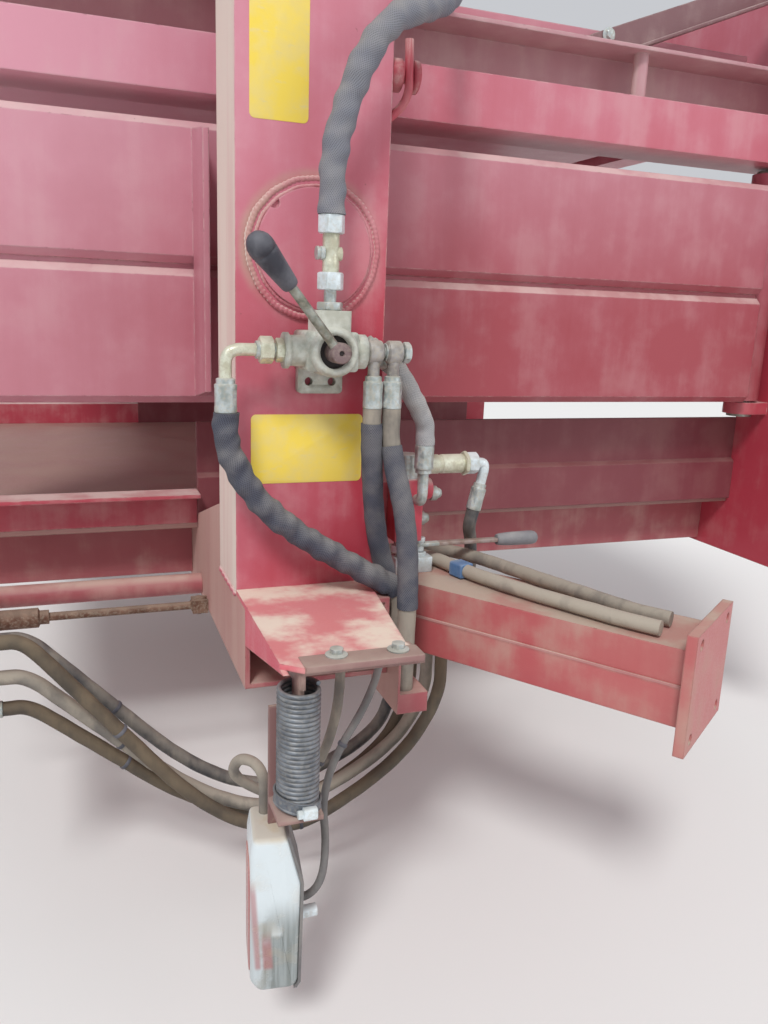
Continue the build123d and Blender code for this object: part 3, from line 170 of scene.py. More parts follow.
def unit(vector: Array) -> Array:
    """The vectors of an array, each divided by its length."""
    return vector / np.linalg.norm(vector, axis=-1, keepdims=True)


def curve_through(points: Sequence[Point], samples: int) -> Array:
    """A smooth curve through a route: straight legs joined by quadratic bends.

    The bend at a corner B starts at A = B - a U and ends at C = B + c V, with U and V the legs' directions.
    A point of it is (1-t)^2 A + 2t(1-t) B + t^2 C. Each of a and c is half its leg, and at most 0.9 of the
    shorter one.

    Args:
        points: The route's points.
        samples: How many points of the curve.

    Returns:
        An array of shape (samples, 3), at equal steps.
    """
    route = np.asarray(points, dtype=float)
    legs = np.diff(route, axis=0)
    lengths = np.linalg.norm(legs, axis=-1, keepdims=True)
    shorter = 0.9 * np.minimum(lengths[:-1], lengths[1:])
    corner = route[1:-1]
    start = corner - np.minimum(lengths[:-1] / 2, shorter) * unit(legs[:-1])
    end = corner + np.minimum(lengths[1:] / 2, shorter) * unit(legs[1:])
    t = np.linspace(0, 1, 33)[None, :, None]
    bends = (1 - t) ** 2 * start[:, None] + 2 * t * (1 - t) * corner[:, None] + t ** 2 * end[:, None]
    dense = np.vstack([route[:1], bends.reshape(-1, 3), route[-1:]])
    return points_at(dense, np.linspace(0, distance_along(dense)[-1], samples))


def distance_along(path: Array) -> Array:
    """The length of a path up to each of its points."""
    steps = np.linalg.norm(np.diff(path, axis=0), axis=-1)
    return np.concatenate([[0], np.cumsum(steps)])


def points_at(path: Array, distance: Array) -> Array:
    """A path's points at given distances along it."""
    along = distance_along(path)
    return np.stack([np.interp(distance, along, path[:, axis]) for axis in range(3)], axis=-1)


def carried(path: Array, sections: Array, sideways: Array | None = None, loop: bool = False) -> Array:
    """A profile carried along a path: ring i is path[i] + x N + y B, square to the path's own direction T.

    B is T x S, made square, and N is B x T, where S is the sideways direction.

    Args:
        path: Points of the path, of shape (n, 3).
        sections: The profile, of shape (sides, 2), or one for each point, of shape (n, sides, 2).
        sideways: A direction that the path never runs along. None takes the one it keeps away from most.
        loop: Whether the path comes back to its start, which it doesn't repeat.

    Returns:
        A grid of points, of shape (n, sides, 3).
    """
    around = np.roll(path, -1, axis=0) - np.roll(path, 1, axis=0)
    tangent = unit(around if loop else np.gradient(path, axis=0))
    if sideways is None:
        sideways = np.linalg.svd(path - path.mean(axis=0))[2][2]
    beside = unit(np.cross(tangent, sideways))
    normal = np.cross(beside, tangent)
    if sections.ndim == 2:
        sections = np.broadcast_to(sections, (len(path), *sections.shape))
    return path[:, None] + sections[..., :1] * normal[:, None] + sections[..., 1:] * beside[:, None]


def scaled(path: Array, scale: Sequence[float], outline: Array, sideways: Array | None = None,
           loop: bool = False) -> Array:
    """One outline carried along a path, and at each point of the path times that point's own number."""
    return carried(path, np.reshape(scale, (-1, 1, 1)) * outline, sideways, loop)


def axis_beside(direction: Array) -> Array:
    """An axis that a unit direction doesn't run along: Z, or X where the direction is steep."""
    return Z_AXIS if abs(direction[2]) < 0.9 else X_AXIS


def turned(profile: Profile, start: Array, direction: Array, outline: Array) -> Array:
    """A turned shape: at each (distance, radius) of the profile, an outline times the radius.

    Args:
        profile: Distances from the start along the direction, each with its radius.
        start: Where the axis starts.
        direction: Which way the axis runs.
        outline: The outline of unit size, of shape (sides, 2).

    Returns:
        A grid of points, of shape (len(profile), sides, 3).
    """
    direction = unit(direction)
    beside = unit(np.cross(direction, axis_beside(direction)))
    distance, radius = np.array(profile, dtype=float).T
    ring = outline[:, :1] * np.cross(beside, direction) + outline[:, 1:] * beside
    return start + distance[:, None, None] * direction + radius[:, None, None] * ring


def hexagon_between(start: Array, end: Array, across_flats: float, face: float = 0.97) -> Array:
    """A hexagon nut: the hexagon's radius, cut down near both ends to a cone that slopes at 30 degrees.

    Args:
        start: Centre of its first face.
        end: Centre of its last face.
        across_flats: Distance between two opposite flats.
        face: The round face's diameter, as a share of the flats.

    Returns:
        A grid of points.
    """
    length = float(np.linalg.norm(end - start))
    outline = outline_of_hexagon(across_flats)
    corner = np.linalg.norm(outline, axis=-1)
    slope = math.tan(math.radians(30))
    chamfer = (corner.max() - across_flats / 2) * slope
    distance = np.array([0, chamfer / 2, chamfer, length - chamfer, length - chamfer / 2, length])
    cone = face * across_flats / 2 + np.minimum(distance, length - distance) / slope
    share = np.minimum(corner, cone[:, None]) / corner
    direction = (end - start) / length
    return carried(start + distance[:, None] * direction, share[..., None] * outline, axis_beside(direction))


@dataclass
class Shell:
    """A piece put together from grids of points, each with its own finish."""

    name: str
    points: list[Array] = field(default_factory=list)
    faces: list[list[int]] = field(default_factory=list)
    face_finish: list[int] = field(default_factory=list)
    face_uv: list[Array] = field(default_factory=list)
    finishes: list[Material] = field(default_factory=list)
    count: int = 0

    def add(self, grid: Array, finish: Material, loop: bool = False) -> "Shell":
        """Add a grid whose columns go round and whose rows go along. Its map is in metres, round and along.

        Args:
            grid: Points, of shape (rows, columns, 3).
            finish: The grid's material.
            loop: Whether the last row joins the first. Otherwise both are filled in.

        Returns:
            The shell itself.
        """
        if finish not in self.finishes:
            self.finishes.append(finish)
        rows, columns = grid.shape[:2]
        index = np.arange(rows * columns).reshape(rows, columns) + self.count
        index = np.concatenate([index, index[:, :1]], axis=1)
        round_it = np.linalg.norm(np.roll(grid, -1, axis=1) - grid, axis=-1)
        across = np.concatenate([np.zeros((rows, 1)), np.cumsum(round_it, axis=1)], axis=1)
        along = np.repeat(distance_along(grid[:, 0])[:, None], columns + 1, axis=1)
        uv = np.stack([across, along], axis=-1)
        if loop:
            index = np.concatenate([index, index[:1]], axis=0)
            uv = np.concatenate([uv, uv[-1:] + [0, np.linalg.norm(grid[0, 0] - grid[-1, 0])]], axis=0)
        less, more = slice(None, -1), slice(1, None)
        corners = [(less, less), (less, more), (more, more), (more, less)]
        new_faces = np.stack([index[corner] for corner in corners], axis=-1).reshape(-1, 4).tolist()
        self.face_uv.append(np.stack([uv[corner] for corner in corners], axis=2).reshape(-1, 2))
        if not loop:
            new_faces += [index[0, -2::-1].tolist(), index[-1, :-1].tolist()]
            self.face_uv.append(np.zeros((2 * columns, 2)))
        self.faces += new_faces
        self.face_finish += [self.finishes.index(finish)] * len(new_faces)
        self.points.append(grid.reshape(-1, 3))
        self.count += rows * columns
        return self

    def build(self, slot: str, *replaced: str, body: str = "frame", sharp: float = 35.0) -> None:
        """Make the object, let it ride on a body and stand for the nodes it replaces.

        Args:
            slot: The record's material slot; not used.
            replaced: Nodes that it stands for.
            body: The body that carries it.
            sharp: Angle in degrees above which an edge stays sharp.
        """
        mesh = bpy.data.meshes.new(self.name)
        mesh.from_pydata(np.concatenate(self.points).tolist(), [], self.faces)
        for finish in self.finishes:
            mesh.materials.append(finish)
        mesh.polygons.foreach_set("material_index", self.face_finish)
        layer = mesh.uv_layers.new(name="surface")
        layer.data.foreach_set("uv", np.concatenate(self.face_uv).ravel())
        mesh.update()
        piece = placed(mesh, sharp)
        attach(piece, body)
        if replaced:
            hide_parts(*replaced)
        LOG.info("%s: %d faces", self.name, len(self.faces))


def placed(mesh: bpy.types.Mesh, sharp: float) -> bpy.types.Object:
    """Shade a mesh smooth but for edges above an angle in degrees, and put it in the scene.

    Args:
        mesh: The mesh, whose name the object gets.
        sharp: The angle.

    Returns:
        The new object.
    """
    mesh.polygons.foreach_set("use_smooth", np.ones(len(mesh.polygons), dtype=bool))
    mesh.set_sharp_from_angle(angle=math.radians(sharp))
    piece = bpy.data.objects.new(mesh.name, mesh)
    bpy.context.scene.collection.objects.link(piece)
    return piece


# Finishes


def rgb(red: int, green: int, blue: int) -> Colour:
    """A colour of the screen, 0 to 255, as the light that it stands for."""
    return tuple((value / 255) ** 2.2 for value in (red, green, blue))


@dataclass
class Graph:
    """A material's shader nodes, with one short call for each kind that the finishes use."""

    name: str
    layer_weight: float = 0.55
    unevenness: float = 0.6
    bevel_samples: int = 4

    def __post_init__(self) -> None:
        """Start an empty material."""
        self.material = bpy.data.materials.new(self.name)
        self.material.use_nodes = True
        self.tree = self.material.node_tree
        self.tree.nodes.clear()
        self.coordinates = self.node("TexCoord").outputs
        self.normal = self.node("NewGeometry").outputs["Normal"]

    def feed(self, socket: Socket, value: object) -> None:
        """Join a socket to another one, or give it a number, a vector or a colour."""
        if isinstance(value, Socket):
            self.tree.links.new(value, socket)
        elif isinstance(value, tuple) and len(value) == 3 and socket.type == "RGBA":
            socket.default_value = (*value, 1.0)
        else:
            socket.default_value = value

    def node(self, kind: str, **inputs: object) -> bpy.types.Node:
        """A new node, whose inputs are given by name, spaces as underscores."""
        node = self.tree.nodes.new("ShaderNode" + kind)
        for label, value in inputs.items():
            self.feed(node.inputs[label.replace("_", " ")], value)
        return node

    def noise(self, scale: float, detail: float, stretch: Point = (1, 1, 1)) -> Socket:
        """A cloudy pattern, 0 to 1.

        Args:
            scale: Patches to a metre.
            detail: How many finer layers.
            stretch: Extra scale along each axis.

        Returns:
            The pattern's socket.
        """
        mapping = self.node("Mapping", Vector=self.coordinates["Object"], Scale=stretch)
        return self.node("TexNoise", Vector=mapping.outputs["Vector"], Scale=scale, Detail=detail,
                         Roughness=self.layer_weight).outputs["Fac"]

    def waves(self, scale: float, turn: float) -> Socket:
        """Slightly uneven parallel bands across the surface's own map, turned by an angle in degrees."""
        mapping = self.node("Mapping", Vector=self.coordinates["UV"], Rotation=(0, 0, math.radians(turn)))
        return self.node("TexWave", Vector=mapping.outputs["Vector"], Scale=scale,
                         Distortion=self.unevenness).outputs["Fac"]

    def spread(self, value: object, low: float, high: float, least: float = 0.0, most: float = 1.0) -> Socket:
        """Map low..high of a value to least..most along an S, and hold it there."""
        node = self.node("MapRange", Value=value, From_Min=low, From_Max=high, To_Min=least, To_Max=most)
        node.interpolation_type = "SMOOTHSTEP"
        return node.outputs["Result"]

    def math(self, kind: str, first: object, *others: object, held: bool = False) -> Socket:
        """Arithmetic such as SUBTRACT, from the first value to the last, held to 0..1 where asked."""
        for value in others:
            node = self.tree.nodes.new("ShaderNodeMath")
            node.operation = kind
            self.feed(node.inputs[0], first)
            self.feed(node.inputs[1], value)
            first = node.outputs[0]
        node.use_clamp = held
        return first

    def plus(self, *values: object, held: bool = False) -> Socket:
        """The sum of values, held to 0..1 where asked."""
        return self.math("ADD", *values, held=held)

    def times(self, *values: object) -> Socket:
        """The product of values."""
        return self.math("MULTIPLY", *values)

    def largest(self, *values: object) -> Socket:
        """The largest of values."""
        return self.math("MAXIMUM", *values)

    def mix(self, share: object, first: object, second: object) -> Socket:
        """Two colours mixed by the second one's share."""
        node = self.tree.nodes.new("ShaderNodeMix")
        node.data_type = "RGBA"
        for label, value in (("Factor", share), (6, first), (7, second)):
            self.feed(node.inputs[label], value)
        return node.outputs[2]

    def facing(self, axis: str = "Z") -> Socket:
        """How far the surface faces along an axis: for Z, 1 on a floor, 0 on a wall and -1 on a ceiling."""
        return self.node("SeparateXYZ", Vector=self.normal).outputs[axis]

    def place(self, axis: str) -> Socket:
        """The surface's own place along an axis, in metres."""
        return self.node("SeparateXYZ", Vector=self.coordinates["Object"]).outputs[axis]

    def edges(self, radius: float) -> tuple[Socket, Socket]:
        """Where the surface bends: the rounded normal, and a mask that is 1 along edges.

        The mask runs from 0 where the two normals' product is 0.998 to 1 where it is 0.9.

        Args:
            radius: How far from an edge the mask reaches, in metres.

        Returns:
            The rounded normal's socket and the mask's socket.
        """
        bevel = self.node("Bevel", Radius=radius)
        bevel.samples = self.bevel_samples
        dot = self.tree.nodes.new("ShaderNodeVectorMath")
        dot.operation = "DOT_PRODUCT"
        self.feed(dot.inputs[0], bevel.outputs["Normal"])
        self.feed(dot.inputs[1], self.normal)
        return bevel.outputs["Normal"], self.spread(dot.outputs["Value"], 0.998, 0.9)

    def bump(self, height: object, depth: float, normal: Socket | None = None) -> Socket:
        """A normal that a height pattern of the given depth in metres pushes about."""
        node = self.node("Bump", Distance=depth, Height=height)
        if normal is not None:
            self.feed(node.inputs["Normal"], normal)
        return node.outputs["Normal"]

    def surface(self, **inputs: object) -> Material:
        """Close the graph with a Principled surface whose inputs are given by name, spaces as underscores."""
        self.node("OutputMaterial", Surface=self.node("BsdfPrincipled", **inputs).outputs["BSDF"])
        return self.material


# Levels between which the paint grows lighter upward, partly sun fading and partly painted light, and places
# along X between which that painted light falls off to the front
FADE_AND_LIGHT_LEVELS = (-0.08, 0.32)
LIGHT_REAR = (-1.35, -0.70)
# Height over which the painted shade above a level comes in
SHADE_STEP = 0.004


@dataclass(frozen=True)
class FadedPaint:
    """Sun-faded enamel on steel plate, with dust where it can lie, worn edges and small chips.

    How far the paint has gone from fresh to faded is ``fade_share``, uneven by ``mottle``, and ``bleach``
    adds to it high up, partly sun fading and partly painted light, and at the rear, as painted light.
    ``dust_share`` is the film of dust on walls, ``lying_dust`` the dust on floors, whose patches thin down to
    ``lying_least`` of it, and ``rear_dust`` the pale colour on faces to the rear, partly dust and partly
    painted light where the light falls on them. Above the level ``worn_above`` the paint is darkened towards
    ``rust`` as painted shade. ``ring`` names a disc that holds ``soil`` round its rim.
    """

    fresh: Colour
    faded: Colour
    dust: Colour = rgb(216, 198, 190)
    # Rust in the chips and specks, and also the colour of the painted shade above a level
    rust: Colour = rgb(112, 74, 62)
    fade_share: float = 0.42
    mottle: float = 1.0
    # Share of painted light: paint lighter high up, partly sun fading, and lighter to the rear
    bleach: float = 0.0
    dust_share: float = 0.22
    lying_dust: float = 0.8
    lying_least: float = 0.55
    # Pale colour on faces to the rear: partly dust, partly painted light where the light falls on them
    rear_dust: float = 0.0
    # Level above which the paint is darkened towards the rust colour as painted shade
    worn_above: float = 9.0
    chip_share: float = 0.5
    edge_reach: float = 0.0030
    ring: str = ""
    ring_radius: float = 0.077
    soil: Colour = rgb(182, 148, 134)

    def build(self, name: str) -> Material:
        """Make the material under a name."""
        graph = Graph(name)
        patches = graph.noise(2.6, 3.0)
        cloud = graph.noise(14.0, 6.0)
        streaks = graph.noise(24.0, 5.0, (1.0, 1.0, 0.08))
        grain = graph.noise(420.0, 3.0)
        uneven = graph.plus(graph.spread(patches, 0.30, 0.70, -0.11, 0.11),
                            graph.spread(streaks, 0.35, 0.7, -0.05, 0.06),
                            graph.spread(cloud, 0.3, 0.7, -0.08, 0.08))
        # Painted light: lighter high up, partly sun fading, and lighter to the rear, darker to the front
        fade_and_light_ramp = graph.plus(graph.spread(graph.place("Z"), *FADE_AND_LIGHT_LEVELS, -0.22, 0.44),
                         graph.spread(graph.place("X"), *LIGHT_REAR, 0.24, -0.46))
        fade = graph.plus(graph.times(uneven, self.mottle), graph.times(fade_and_light_ramp, self.bleach), self.fade_share,
                          held=True)
        colour = graph.mix(fade, self.fresh, self.faded)
        # Painted shade: above a level the paint is darkened towards the rust colour
        high = graph.spread(graph.place("Z"), self.worn_above, self.worn_above + SHADE_STEP, 0.0, 0.78)
        colour = graph.mix(high, colour, self.rust)
        if self.ring:
            colour = graph.mix(self.ring_dust(graph, cloud), colour, self.soil)
        lying = graph.times(graph.spread(graph.facing(), 0.25, 0.95, 0.0, self.lying_dust),
                            graph.spread(cloud, 0.38, 0.6, self.lying_least, 1.0))
        film = graph.spread(graph.plus(cloud, graph.times(streaks, 0.7)), 0.78, 1.15, 0.0, self.dust_share)
        # Pale colour on faces to the rear: partly dust, partly painted light where the light falls on them
        behind = graph.times(graph.spread(graph.facing("X"), -0.6, -0.95, 0.0, self.rear_dust),
                             graph.spread(streaks, 0.25, 0.6, 0.65, 1.0))
        round_normal, edge = graph.edges(self.edge_reach)
        worn = graph.times(edge, graph.spread(graph.noise(60.0, 5.0), 0.40, 0.62, 0.15, 0.8), 0.6)
        dust = graph.largest(lying, film, behind, worn)
        colour = graph.mix(dust, colour, self.dust)
        chips = graph.times(edge, graph.spread(graph.noise(95.0, 6.0), 0.60, 0.66, 0.0, self.chip_share))
        specks = graph.spread(graph.noise(140.0, 2.0), 0.77, 0.80, 0.0, self.chip_share)
        colour = graph.mix(graph.largest(chips, specks), colour, self.rust)
        rough = graph.plus(graph.spread(dust, 0.0, 0.8, 0.42, 0.84),
                           graph.spread(grain, 0.3, 0.7, -0.05, 0.05))
        relief = graph.plus(graph.times(grain, 0.35), graph.times(cloud, 0.65))
        return graph.surface(Base_Color=colour, Roughness=rough, Specular_IOR_Level=0.4,
                             Normal=graph.bump(relief, 0.0005, round_normal))

    def ring_dust(self, graph: Graph, cloud: Socket) -> Socket:
        """Dust held round a disc: strongest at the ring's radius, and on its upper rear part.

        Args:
            graph: The material's graph.
            cloud: A cloudy pattern that breaks the dust up.

        Returns:
            The dust's share.
        """
        middle = box_of(self.ring)[2].tolist()
        across = graph.math("SUBTRACT", graph.place("X"), middle[0])
        above = graph.math("SUBTRACT", graph.place("Z"), middle[2])
        radius = graph.math("SQRT", graph.plus(graph.times(across, across), graph.times(above, above)), 0.0)
        off = graph.math("ABSOLUTE", graph.math("SUBTRACT", radius, self.ring_radius), 0.0)
        side = graph.spread(graph.math("SUBTRACT", above, across), -0.03, 0.07, 0.12, 1.0)
        return graph.times(graph.spread(off, 0.015, 0.003), side, graph.spread(cloud, 0.3, 0.6, 0.25, 0.85))


@dataclass(frozen=True)
class WornMetal:
    """Plated, cast or bare metal under a thin uneven coat of dust."""

    clean: Colour
    dull: Colour
    metallic: float = 0.75
    rough: float = 0.38
    pits: float = 0.0002
    edge_radius: float = 0.0012
    dust_share: float = 0.45
    dust: Colour = rgb(176, 166, 148)

    def build(self, name: str) -> Material:
        """Make the material under a name."""
        graph = Graph(name)
        cloud = graph.noise(70.0, 5.0)
        fine = graph.noise(900.0, 3.0)
        spots = graph.noise(240.0, 4.0)
        colour = graph.mix(graph.spread(cloud, 0.35, 0.65), self.clean, self.dull)
        dust = graph.largest(graph.times(graph.spread(spots, 0.42, 0.66), self.dust_share),
                             graph.times(graph.spread(graph.facing(), 0.2, 0.95), self.dust_share))
        colour = graph.mix(dust, colour, self.dust)
        round_normal = None
        if self.edge_radius:
            round_normal, edge = graph.edges(self.edge_radius)
            colour = graph.mix(graph.times(edge, 0.35), colour, self.clean)
        rough = graph.plus(graph.spread(dust, 0.0, 0.6, self.rough, 0.85),
                           graph.spread(fine, 0.3, 0.7, -0.06, 0.06))
        return graph.surface(Base_Color=colour, Roughness=rough,
                             Metallic=graph.spread(dust, 0.0, 0.5, self.metallic, self.metallic * 0.25),
                             Normal=graph.bump(graph.plus(graph.times(fine, 0.4), spots), self.pits,
                                               round_normal))


@dataclass(frozen=True)
class DustyRubber:
    """Smooth hose rubber or a moulded plastic, greyed by dust on its upper side."""

    clean: Colour = rgb(66, 66, 70)
    dust: Colour = rgb(158, 149, 136)
    dust_share: float = 0.5
    rough: float = 0.5

    def build(self, name: str) -> Material:
        """Make the material under a name."""
        graph = Graph(name)
        cloud = graph.noise(24.0, 5.0)
        fine = graph.noise(380.0, 4.0)
        scuff = graph.noise(46.0, 6.0, (1.0, 1.0, 0.25))
        lying = graph.spread(graph.facing(), -0.5, 0.9, 0.0, 0.35)
        dust = graph.plus(graph.spread(cloud, 0.3, 0.65, -0.2, 0.25), lying, self.dust_share,
                          graph.spread(scuff, 0.45, 0.62, -0.12, 0.1), held=True)
        return graph.surface(Base_Color=graph.mix(dust, self.clean, self.dust),
                             Roughness=graph.spread(dust, 0.0, 1.0, self.rough, 0.9), Specular_IOR_Level=0.35,
                             Normal=graph.bump(graph.plus(fine, cloud), 0.0004))


@dataclass(frozen=True)
class WovenSleeve:
    """Woven protective sleeve, whose crossing threads follow the hose's own map."""

    thread: Colour
    gap: Colour
    dust: Colour = rgb(163, 158, 152)
    dust_share: float = 0.25
    threads: float = 150.0
    slant: float = 38.0

    def build(self, name: str) -> Material:
        """Make the material under a name."""
        graph = Graph(name)
        weave = graph.largest(graph.waves(self.threads, self.slant), graph.waves(self.threads, -self.slant))
        rubbed = graph.noise(34.0, 5.0)
        lying = graph.spread(graph.facing(), -0.2, 0.95, 0.0, 0.4)
        dust = graph.plus(graph.spread(rubbed, 0.36, 0.72, -0.1, 0.16), lying, self.dust_share, held=True)
        dust = graph.times(dust, graph.spread(weave, 0.2, 0.9, 0.6, 1.0))
        colour = graph.mix(graph.spread(weave, 0.1, 0.8), self.gap, self.thread)
        return graph.surface(Base_Color=graph.mix(dust, colour, self.dust), Roughness=0.78,
                             Specular_IOR_Level=0.3,
                             Normal=graph.bump(graph.plus(weave, rubbed), 0.0006))


# What shows through the lamp's side, as spans: from and to along X, measured from the lamp's rear, then the
# lower and the upper level. The lens's edge and a reflector behind it are red, and the glint beside them is a
# painted reflection in the clear colour.
LAMP_INSIDES = [(0.001, 0.007, -0.690, -0.590), (0.0095, 0.0195, -0.691, -0.652)]
LAMP_PAINTED_GLINT = (0.0205, 0.0315, -0.651, -0.643)
INSIDE_SHARE = 0.6
BLUR = 0.002


@dataclass(frozen=True)
class MilkyPlastic:
    """Clear lamp plastic that sun and dust have made milky, browned where dust lies on it."""

    clear: Colour = rgb(212, 221, 224)
    stain: Colour = rgb(188, 166, 130)
    # Painted shade: the darker colour of the lamp's dim inside, seen through its lower front
    deep: Colour = rgb(132, 138, 136)
    red: Colour = rgb(168, 84, 84)
    # Level under which the painted shade of the inside shows
    milky_above: float = -0.60
    transmission: float = 0.12
    rough: float = 0.26

    def build(self, name: str) -> Material:
        """Make the material under a name."""
        graph = Graph(name)
        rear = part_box("lamp_body_right")[0][0]
        cloud = graph.noise(30.0, 5.0)
        scratches = graph.noise(220.0, 4.0, (1.0, 1.0, 0.12))
        dust = graph.plus(graph.spread(cloud, 0.48, 0.7, 0.0, 0.22),
                          graph.spread(graph.facing(), 0.1, 0.9, 0.0, 0.55),
                          held=True)
        low = graph.spread(graph.place("Z"), self.milky_above, self.milky_above - 0.05)
        front = graph.spread(graph.plus(graph.place("X"), graph.spread(cloud, 0.3, 0.7, -0.008, 0.008)),
                             rear + 0.010, rear + 0.024, 0.3, 1.0)
        streaks = graph.spread(graph.noise(260.0, 4.0, (1.0, 1.0, 0.05)), 0.35, 0.65, 0.72, 1.0)
        # Painted shade: lower and to the front the plastic takes the darker colour of the lamp's dim inside
        colour = graph.mix(graph.times(low, front, streaks), self.clear, self.deep)
        for span in LAMP_INSIDES:
            colour = graph.mix(graph.times(self.window(graph, rear, span), INSIDE_SHARE), colour, self.red)
        # Painted reflection: a glint in the clear colour beside the red parts
        colour = graph.mix(self.window(graph, rear, LAMP_PAINTED_GLINT), colour, self.clear)
        clear = graph.times(graph.spread(low, 0.0, 1.0, 0.25, 1.0), self.transmission,
                            graph.spread(dust, 0.0, 0.7, 1.0, 0.2))
        return graph.surface(Base_Color=graph.mix(dust, colour, self.stain), Transmission_Weight=clear,
                             IOR=1.46,
                             Roughness=graph.spread(dust, 0.0, 0.7, self.rough, 0.75),
                             Normal=graph.bump(graph.plus(scratches, cloud), 0.0002))

    def window(self, graph: Graph, rear: float, span: tuple[float, float, float, float]) -> Socket:
        """A mask of something seen through the wall, along the lamp's slanting rear.

        Args:
            graph: The material's graph.
            rear: The lamp's rear along X.
            span: One of the spans above.

        Returns:
            The mask.
        """
        near, far, low, high = span
        slant = graph.times(graph.plus(graph.place("Z"), 0.62), 0.06)
        across = graph.plus(graph.place("X"), graph.plus(slant, -rear))
        return graph.times(graph.times(graph.spread(across, near - BLUR, near + BLUR),
                                       graph.spread(across, far + BLUR, far - BLUR)),
                           graph.times(graph.spread(graph.place("Z"), low - 0.003, low + 0.003),
                                       graph.spread(graph.place("Z"), high + 0.012, high - 0.012)))


@dataclass(frozen=True)
class BlankPlate:
    """Yellow film of a sign with nothing on it, scuffed and dusty."""

    film: Colour = rgb(238, 208, 84)
    dust: Colour = rgb(214, 198, 150)

    def build(self, name: str) -> Material:
        """Make the material under a name."""
        graph = Graph(name)
        cloud = graph.noise(40.0, 5.0)
        scuff = graph.noise(130.0, 5.0, (0.4, 1.0, 1.0))
        dust = graph.plus(graph.spread(cloud, 0.35, 0.7, 0.0, 0.4), graph.spread(scuff, 0.6, 0.72, 0.0, 0.35),
                          held=True)
        return graph.surface(Base_Color=graph.mix(dust, self.film, self.dust),
                             Roughness=graph.spread(dust, 0.0, 0.6, 0.32, 0.7),
                             Normal=graph.bump(cloud, 0.0002))


